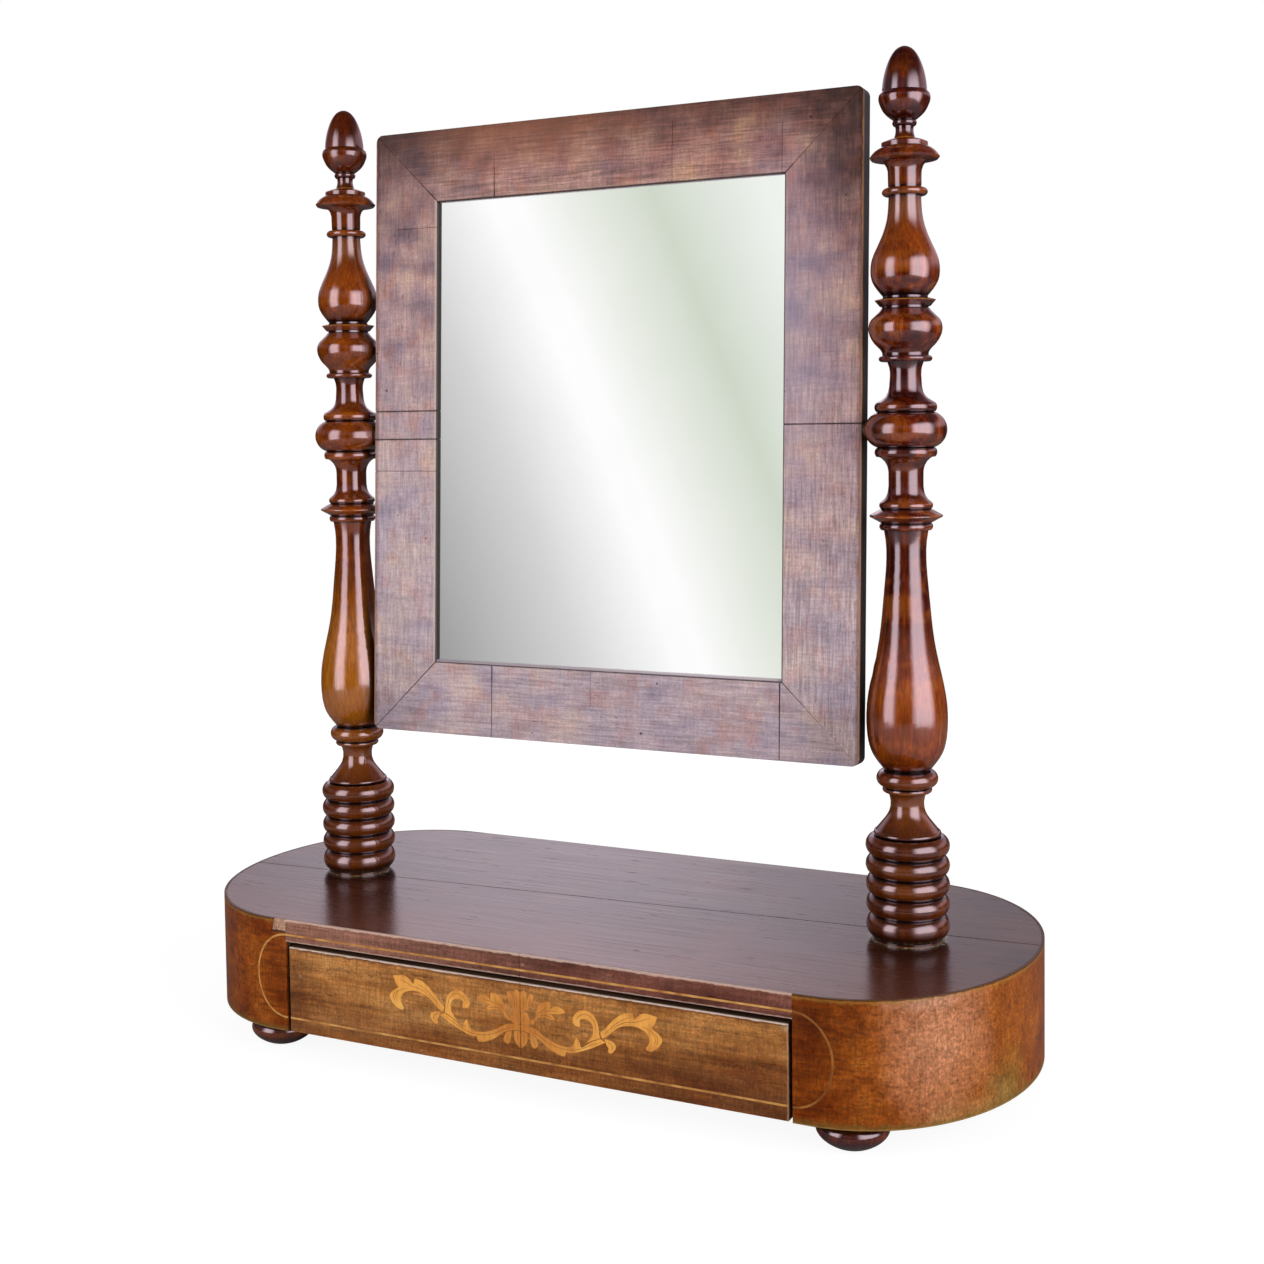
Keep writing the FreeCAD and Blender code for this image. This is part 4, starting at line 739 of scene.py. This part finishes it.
END_EDGES = (("Z", BASE_TOP, 3.2, "#A87C38", 0.4), ("Z", BASE_TOP, 1.0, "#33190C", 0.75),
             ("Z", BASE_FOOT, 4.0, "#6E5A2A", 0.5), ("Z", BASE_FOOT, 1.0, "#A58A50", 0.5))
dress(base_veneer("bent_walnut", ORANGE_BROWN, 16, 24, END_BLOTS_AND_HIGHLIGHTS, END_EDGES, 1.25),
      "left_end_veneer", "right_end_veneer")
patch_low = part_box("veneer_patch")[0]
PALE_BROWN = ((0.32, "#9A6A52"), (0.5, "#BE9276"), (0.68, "#D4AE92"))
PATCH_EDGES = (("X", patch_low.x, 1.6, "#2A140C", 0.9), ("Z", patch_low.z, 1.2, "#2A140C", 0.9))
dress(base_veneer("patch_walnut", PALE_BROWN, 5, 5, (), PATCH_EDGES), "veneer_patch")

# %% [markdown]
# ## Stringing, and the plain woods and metal inside
# The light line is boxwood, aged to gold. The drawer box, the carcass and the board behind the glass are bare
# pine, browned by age. Pins, brads and nails are iron with a little rust, and the washers are leather.

# %% Stringing
def spotted(name, roughness, spot_mm, detail, stops, depth_mm):
    """A finish with one pattern only, which gives both its colour and its relief."""
    material, tree, shader, place = start_finish(name, roughness)
    spots = clouds(place, spot_mm, detail)
    colour = put(tree, "ValToRGB", {0: spots}, stops=stops).outputs[0]
    end_finish(shader, colour, spots, depth_mm)
    return material


# Boxwood under yellowed polish: an even gold, too close-grained for lines to show.
GOLD = ((0.3, "#9A5C28"), (0.5, "#C98A44"), (0.68, "#DDA65C"))
DARK_GOLD = ((0.3, "#6E3A10"), (0.5, "#8C5018"), (0.68, "#A86C2C"))
dress(spotted("aged_boxwood", 0.36, 9, 3.0, GOLD, 0.05), "rail_stringing", "drawer_stringing",
      "left_end_stringing")
dress(spotted("darkened_boxwood", 0.36, 9, 3.0, DARK_GOLD, 0.05), "right_end_stringing")


# %% Bare pine
def bare_pine(name, axis, stops):
    """Unpolished pine with its grain along one axis."""
    # Planed pine: matt, with broad and soft yearly rings.
    material, tree, shader, place = start_finish(name, 0.62)
    lines = grain(place, axis, 4.0, 220, 3.0)
    colour = put(tree, "ValToRGB", {0: lines}, stops=stops).outputs[0]
    colour = shade(colour, grain(place, axis, 1.2, 60), 0.3, 0.7, 0.85, 1.1)
    colour = shade(colour, clouds(place, 45, 4.0), 0.35, 0.65, 0.72, 1.08)
    end_finish(shader, colour, lines, 0.2, 0.5, 0.5)
    return material


PINE = ((0.3, "#7B5430"), (0.5, "#A37A4C"), (0.7, "#BD9764"))
OLD_PINE = ((0.3, "#66472C"), (0.5, "#8C6844"), (0.7, "#A8845A"))
BROWN_PINE = ((0.3, "#4A3020"), (0.5, "#6A4A32"), (0.7, "#876446"))
dress(bare_pine("bare_pine_level", "X", PINE), "drawer_back", "drawer_bottom")
dress(bare_pine("bare_pine_deep", "Y", PINE), "drawer_left_side", "drawer_right_side", "left_kicker",
      "right_kicker", "left_drawer_guide", "right_drawer_guide")
dress(bare_pine("old_pine_level", "X", OLD_PINE), "back_board", "bottom_board")
dress(bare_pine("old_pine_upright", "Z", OLD_PINE), "glass_backing")
dress(bare_pine("browned_pine_level", "X", BROWN_PINE), "left_end_block", "right_end_block", "drawer_front",
      "front_rail")

# %% Iron and leather
# Old iron: dark grey and dull, with brown spots of rust.
RUSTED = ((0.35, "#2E2A28"), (0.55, "#4A423E"), (0.7, "#6B4128"))
iron = spotted("rusty_iron", 0.5, 2.5, 4.0, RUSTED, 0.1)
iron.node_tree.nodes["Principled BSDF"].inputs["Metallic"].default_value = 0.8
dress(iron, "backing_brads", "drawer_bottom_nails", "left_pivot_pin", "right_pivot_pin")

# Worn leather: dark brown and matt, with a pebbled face drawn coarser than its real 0.3 mm pores.
PEBBLED = ((0.35, "#2A1810"), (0.65, "#4A2E1E"))
dress(spotted("worn_leather", 0.6, 1.2, 3.0, PEBBLED, 0.2), "left_pivot_washer", "right_pivot_washer")

# %% [markdown]
# ## The inlay on the drawer
# Scrolling leaves of a light wood, sawn out and let into the brown veneer. The two halves were cut from one
# stack, so the left is the right one turned over, and a seam runs down the middle. Each leaf is one closed flat
# curve, drawn like the maker's paper pattern: millimetres from the middle line and up from the base's lower edge.
# Most points are smooth. Those marked TIP are the sharp points and notches of a leaf. The curves are filled,
# made a mesh, stood up against the drawer's face, and mirrored.

# %% The leaves
TIP = "VECTOR"
LEAVES = {
    "arch": (
        (53.3, 32.5), (56, 35), (59, 38.5), (62.5, 42), (66, 44.8), (70, 46.6), (74.2, 47.3, TIP),
        (74.6, 45.5), (75.3, 43.6, TIP), (77, 45.3), (79.5, 47.3), (83, 48.2), (86.5, 47.7), (90, 47.3, TIP),
        (89, 45), (88, 42.5), (86, 40.4, TIP), (88.5, 38.8), (91.3, 36.6), (92.8, 34), (91.6, 31.2),
        (89.5, 28.9), (87, 27.2), (84.5, 26.5), (82.6, 27.6), (83.7, 29.8), (84.6, 32), (84.4, 34.8),
        (82.3, 37.3), (79, 38.8), (75, 39.6), (70.5, 39.1), (66.5, 38), (63.5, 36.3), (60.5, 33.7),
        (57.5, 31.1), (54.5, 29.4, TIP)),
    "curl": (
        (53, 29.5, TIP), (52.4, 32), (52.1, 35), (51.4, 38), (50, 40.9), (47.7, 43), (44.7, 44.2),
        (41.7, 44.2), (38.7, 43), (36.3, 40.7), (35, 38), (35.6, 35.7), (37.3, 34.3), (39.8, 33.9, TIP),
        (40.1, 36), (40, 38.2), (41.7, 39), (43.8, 39.2), (45.8, 38.5), (47.2, 37.4), (48.4, 35.5),
        (48.5, 33), (48.2, 30.7), (46.8, 28.6), (45.2, 26.6), (43.5, 25, TIP)),
    "stem": (
        (56.5, 27.3, TIP), (53.5, 25.8), (50, 23.8), (46.7, 22.2), (43.3, 20.8), (40.5, 19.7), (37.5, 18.5),
        (34, 17.7), (30.4, 18, TIP), (30.1, 16.3), (29.3, 14.9, TIP), (25.5, 15.3), (22, 16.6), (18.7, 18.1),
        (15.3, 20.4), (12.6, 22.6), (10, 24), (5, 25.5), (0.25, 26, TIP), (0.25, 29.5, TIP), (5, 29.3),
        (9.3, 28.6), (12.7, 27), (16, 25), (19.3, 23.3), (22.7, 22), (26, 21.3), (29.3, 20.9), (32, 21),
        (34.2, 21.7), (35.6, 23.1), (36.3, 25), (37.3, 27.3, TIP), (39.2, 25.3), (39.8, 23.2),
        (40.3, 21.8, TIP), (42.5, 22.7), (45.4, 25.0), (49, 27.0), (53, 28.8, TIP)),
    "bud": (
        (55.8, 29.2, TIP), (58.5, 29.1), (61, 28.5), (62.8, 27.2), (63.3, 25.3), (62.4, 23.6), (61, 22.1),
        (59.3, 21.4), (58, 22.3), (58.4, 23.8), (57.8, 25.2), (56.9, 26.4), (56.6, 27.7, TIP)),
    "spray": (
        (6.5, 31, TIP), (8.8, 31.2), (10.8, 33.8), (12.7, 35.6), (16, 36.3), (19.3, 35.9), (22, 35.5),
        (23.6, 36.3, TIP), (22, 37.8), (20.3, 38.9, TIP), (23.5, 39.2), (26.7, 39.7), (30.5, 41.2, TIP),
        (28.7, 42.8), (25.3, 44), (22, 43.1), (20.4, 41.6, TIP), (20.5, 44), (20.2, 46.1, TIP), (17, 45.6),
        (14, 44.2), (12, 42.2), (11, 39.5), (10.4, 36.8), (9.5, 34.8), (7.3, 33, TIP)),
    "outer_lobe": (
        (4.2, 38, TIP), (5.6, 40.3), (7.2, 43.3), (8.8, 46), (8.9, 47.6), (7.6, 48.7), (6.2, 48), (5.2, 45.8),
        (4.4, 43), (4.0, 40)),
    "middle_lobe": (
        (0.25, 36, TIP), (3.4, 38.5), (3.7, 42), (4.2, 45), (4.6, 47.6), (4, 49.6), (2.8, 50.4), (1.4, 50),
        (0.25, 48.8, TIP)),
    "heart": (
        (0.25, 29.9, TIP), (5, 29.7), (6.2, 30.8), (6.8, 33), (5.8, 34.8), (5, 37), (3.6, 37.6),
        (0.25, 35.6, TIP)),
    "lower_lobe": (
        (6.2, 25, TIP), (9.6, 23.8, TIP), (11, 21.5), (11.8, 18.6), (10.6, 17.2), (8.6, 16.7), (7.2, 18.6),
        (6.5, 21.8)),
    "lower_tongue": (
        (0.25, 25.7, TIP), (4.6, 25.2, TIP), (4.5, 22.5), (4.4, 20), (3.4, 18), (1.6, 16.2),
        (0.25, 15.2, TIP)),
}
# Engraved lines, in the same millimetres
VEINS = (
    ((55.5, 31.6), (60, 36.2), (65, 40.6), (70, 43.4), (73.4, 44.6)),
    ((60, 34.8), (65, 38.8), (70, 41.2), (76, 42.2), (82, 44.6), (87.6, 46.2)),
    ((79, 40.4), (84, 39.2), (87.6, 36.4), (88.4, 33), (86.8, 29.4)),
    ((86.2, 38.4), (89.6, 35.6), (89.8, 32.4), (88, 29.8)),
    ((50.8, 31), (50.4, 35), (49, 39), (45.6, 41.8), (41.6, 41.6), (38.6, 39.6), (37.2, 36.8)),
    ((55, 27.6), (48, 24.8), (42.4, 22.0), (36, 19.8), (30, 19.2), (23, 20), (16, 22.6), (10, 25.6), (3, 27.6)),
    ((38.2, 25.4), (38.6, 23.2), (38, 21.2)),
    ((57.6, 27.8), (60.4, 26.6), (61, 24.6), (59.8, 22.6)),
    ((8, 32.2), (12, 38), (16, 41), (19.4, 44.6)),
    ((12, 37.6), (17, 40), (22, 41), (28.6, 41.4)),
    ((11.4, 36.2), (15.4, 37.6), (20, 37.2), (22.6, 36.4)),
    ((4.9, 40), (6.4, 43.6), (7.5, 47.2)),
    ((1.8, 38.6), (2.4, 43), (2.8, 48.6)),
    ((1.6, 31), (2.4, 34), (3.6, 36)),
    ((8.2, 23.4), (9, 20.4), (9.6, 18)),
    ((2.2, 24.4), (2.3, 21), (1.8, 17.8)),
)
DRAWER_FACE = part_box("drawer_facing_right")[0].y
INLAY_PROUD = 0.08 * MM
VEIN_WIDTH = 0.34 * MM
# How wide a line is where the graver goes in and comes out, as a share of its width
VEIN_STARTS, VEIN_ENDS = 0.5, 0.3
CURVE_STEPS = 6
MERGE_WITHIN = 1e-6


def flat_curve(name, outline, closed):
    """One curve in the XY plane, in metres, with smooth handles except at the tips."""
    data = bpy.data.curves.new(name, "CURVE")
    data.dimensions = "2D" if closed else "3D"
    data.resolution_u = CURVE_STEPS
    spline = data.splines.new("BEZIER")
    spline.bezier_points.add(len(outline) - 1)
    spline.use_cyclic_u = closed
    for point, (across, up, *tip) in zip(spline.bezier_points, outline):
        point.co = (across * MM, up * MM, 0)
        point.handle_left_type = point.handle_right_type = tip[0] if tip else "AUTO"
    piece = bpy.data.objects.new(name, data)
    bpy.context.scene.collection.objects.link(piece)
    return piece


def stand_on_drawer(curves, name, proud):
    """Makes the curves one mesh on the drawer's face, with its mirror image."""
    bpy.ops.object.select_all(action="DESELECT")
    for piece in curves:
        piece.select_set(True)
    bpy.context.view_layer.objects.active = curves[0]
    bpy.ops.object.convert(target="MESH")
    bpy.ops.object.join()
    piece = bpy.context.object
    piece.name = piece.data.name = name
    piece.rotation_euler = (math.pi / 2, 0, 0)
    piece.location = (0, DRAWER_FACE - proud, BASE_FOOT)
    bpy.ops.object.transform_apply(location=True, rotation=True, scale=True)
    twin = piece.modifiers.new("twin", "MIRROR")
    twin.use_mirror_merge = False
    bpy.ops.object.modifier_apply(modifier="twin")
    bpy.ops.object.mode_set(mode="EDIT")
    bpy.ops.mesh.select_all(action="SELECT")
    bpy.ops.mesh.remove_doubles(threshold=MERGE_WITHIN)
    bpy.ops.mesh.normals_make_consistent(inside=False)
    bpy.ops.object.mode_set(mode="OBJECT")
    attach(piece, "drawer")
    print(name, len(piece.data.polygons), "faces")
    return piece


leaf_curves = []
for leaf_name, outline in LEAVES.items():
    leaf = flat_curve(leaf_name, outline, True)
    leaf.data.fill_mode = "BOTH"
    leaf.data.extrude = INLAY_PROUD / 2
    leaf_curves.append(leaf)
inlay = stand_on_drawer(leaf_curves, "drawer_inlay", INLAY_PROUD / 2)

vein_curves = []
for number, line in enumerate(VEINS):
    vein = flat_curve("vein_%d" % number, line, False)
    vein.data.bevel_depth = VEIN_WIDTH / 2
    vein.data.bevel_resolution = 1
    vein.data.use_fill_caps = True
    vein.data.splines[0].bezier_points[0].radius = VEIN_STARTS
    vein.data.splines[0].bezier_points[-1].radius = VEIN_ENDS
    vein_curves.append(vein)
engraving = stand_on_drawer(vein_curves, "drawer_inlay_engraving", INLAY_PROUD - VEIN_WIDTH / 4)

# %% [markdown]
# The inlay has its own grain, upright, and dirt has darkened it in places. Its lines were cut with a graver and
# rubbed with dark wax.

# %% Inlay finishes
SATINWOOD = ((0.30, "#D98A3C"), (0.45, "#F0A348"), (0.60, "#FBB04E"), (0.74, "#FFC062"))
SOILED = ((0, DRAWER_FACE, BASE_FOOT + 0.03), 45, 8, 10, ROUND, "#CDB09C", 0.8, "MULTIPLY")
# Satinwood let into veneer: golden and silky. Its lines are drawn three times as coarse as real ones.
material, tree, shader, place = start_finish("inlaid_satinwood", 0.34)
broad = clouds(place, 11)
colour = put(tree, "ValToRGB", {0: broad}, stops=SATINWOOD).outputs[0]
colour = blot(colour, place, broad, *SOILED)
lines = grain(place, "Z", 0.9, 20)
colour = shade(colour, lines, 0.3, 0.7, 0.84, 1.1)
end_finish(shader, colour, lines, 0.06)
inlay.data.materials.append(material)

# Dark wax in an engraved line: brown and softly dull.
material, tree, shader, place = start_finish("waxed_engraving", 0.45)
waxy = clouds(place, 3)
colour = put(tree, "ValToRGB", {0: waxy}, stops=((0.35, "#6A3A14"), (0.65, "#94591F"))).outputs[0]
tree.links.new(colour, shader.inputs["Base Color"])
engraving.data.materials.append(material)
print("inlay finished")
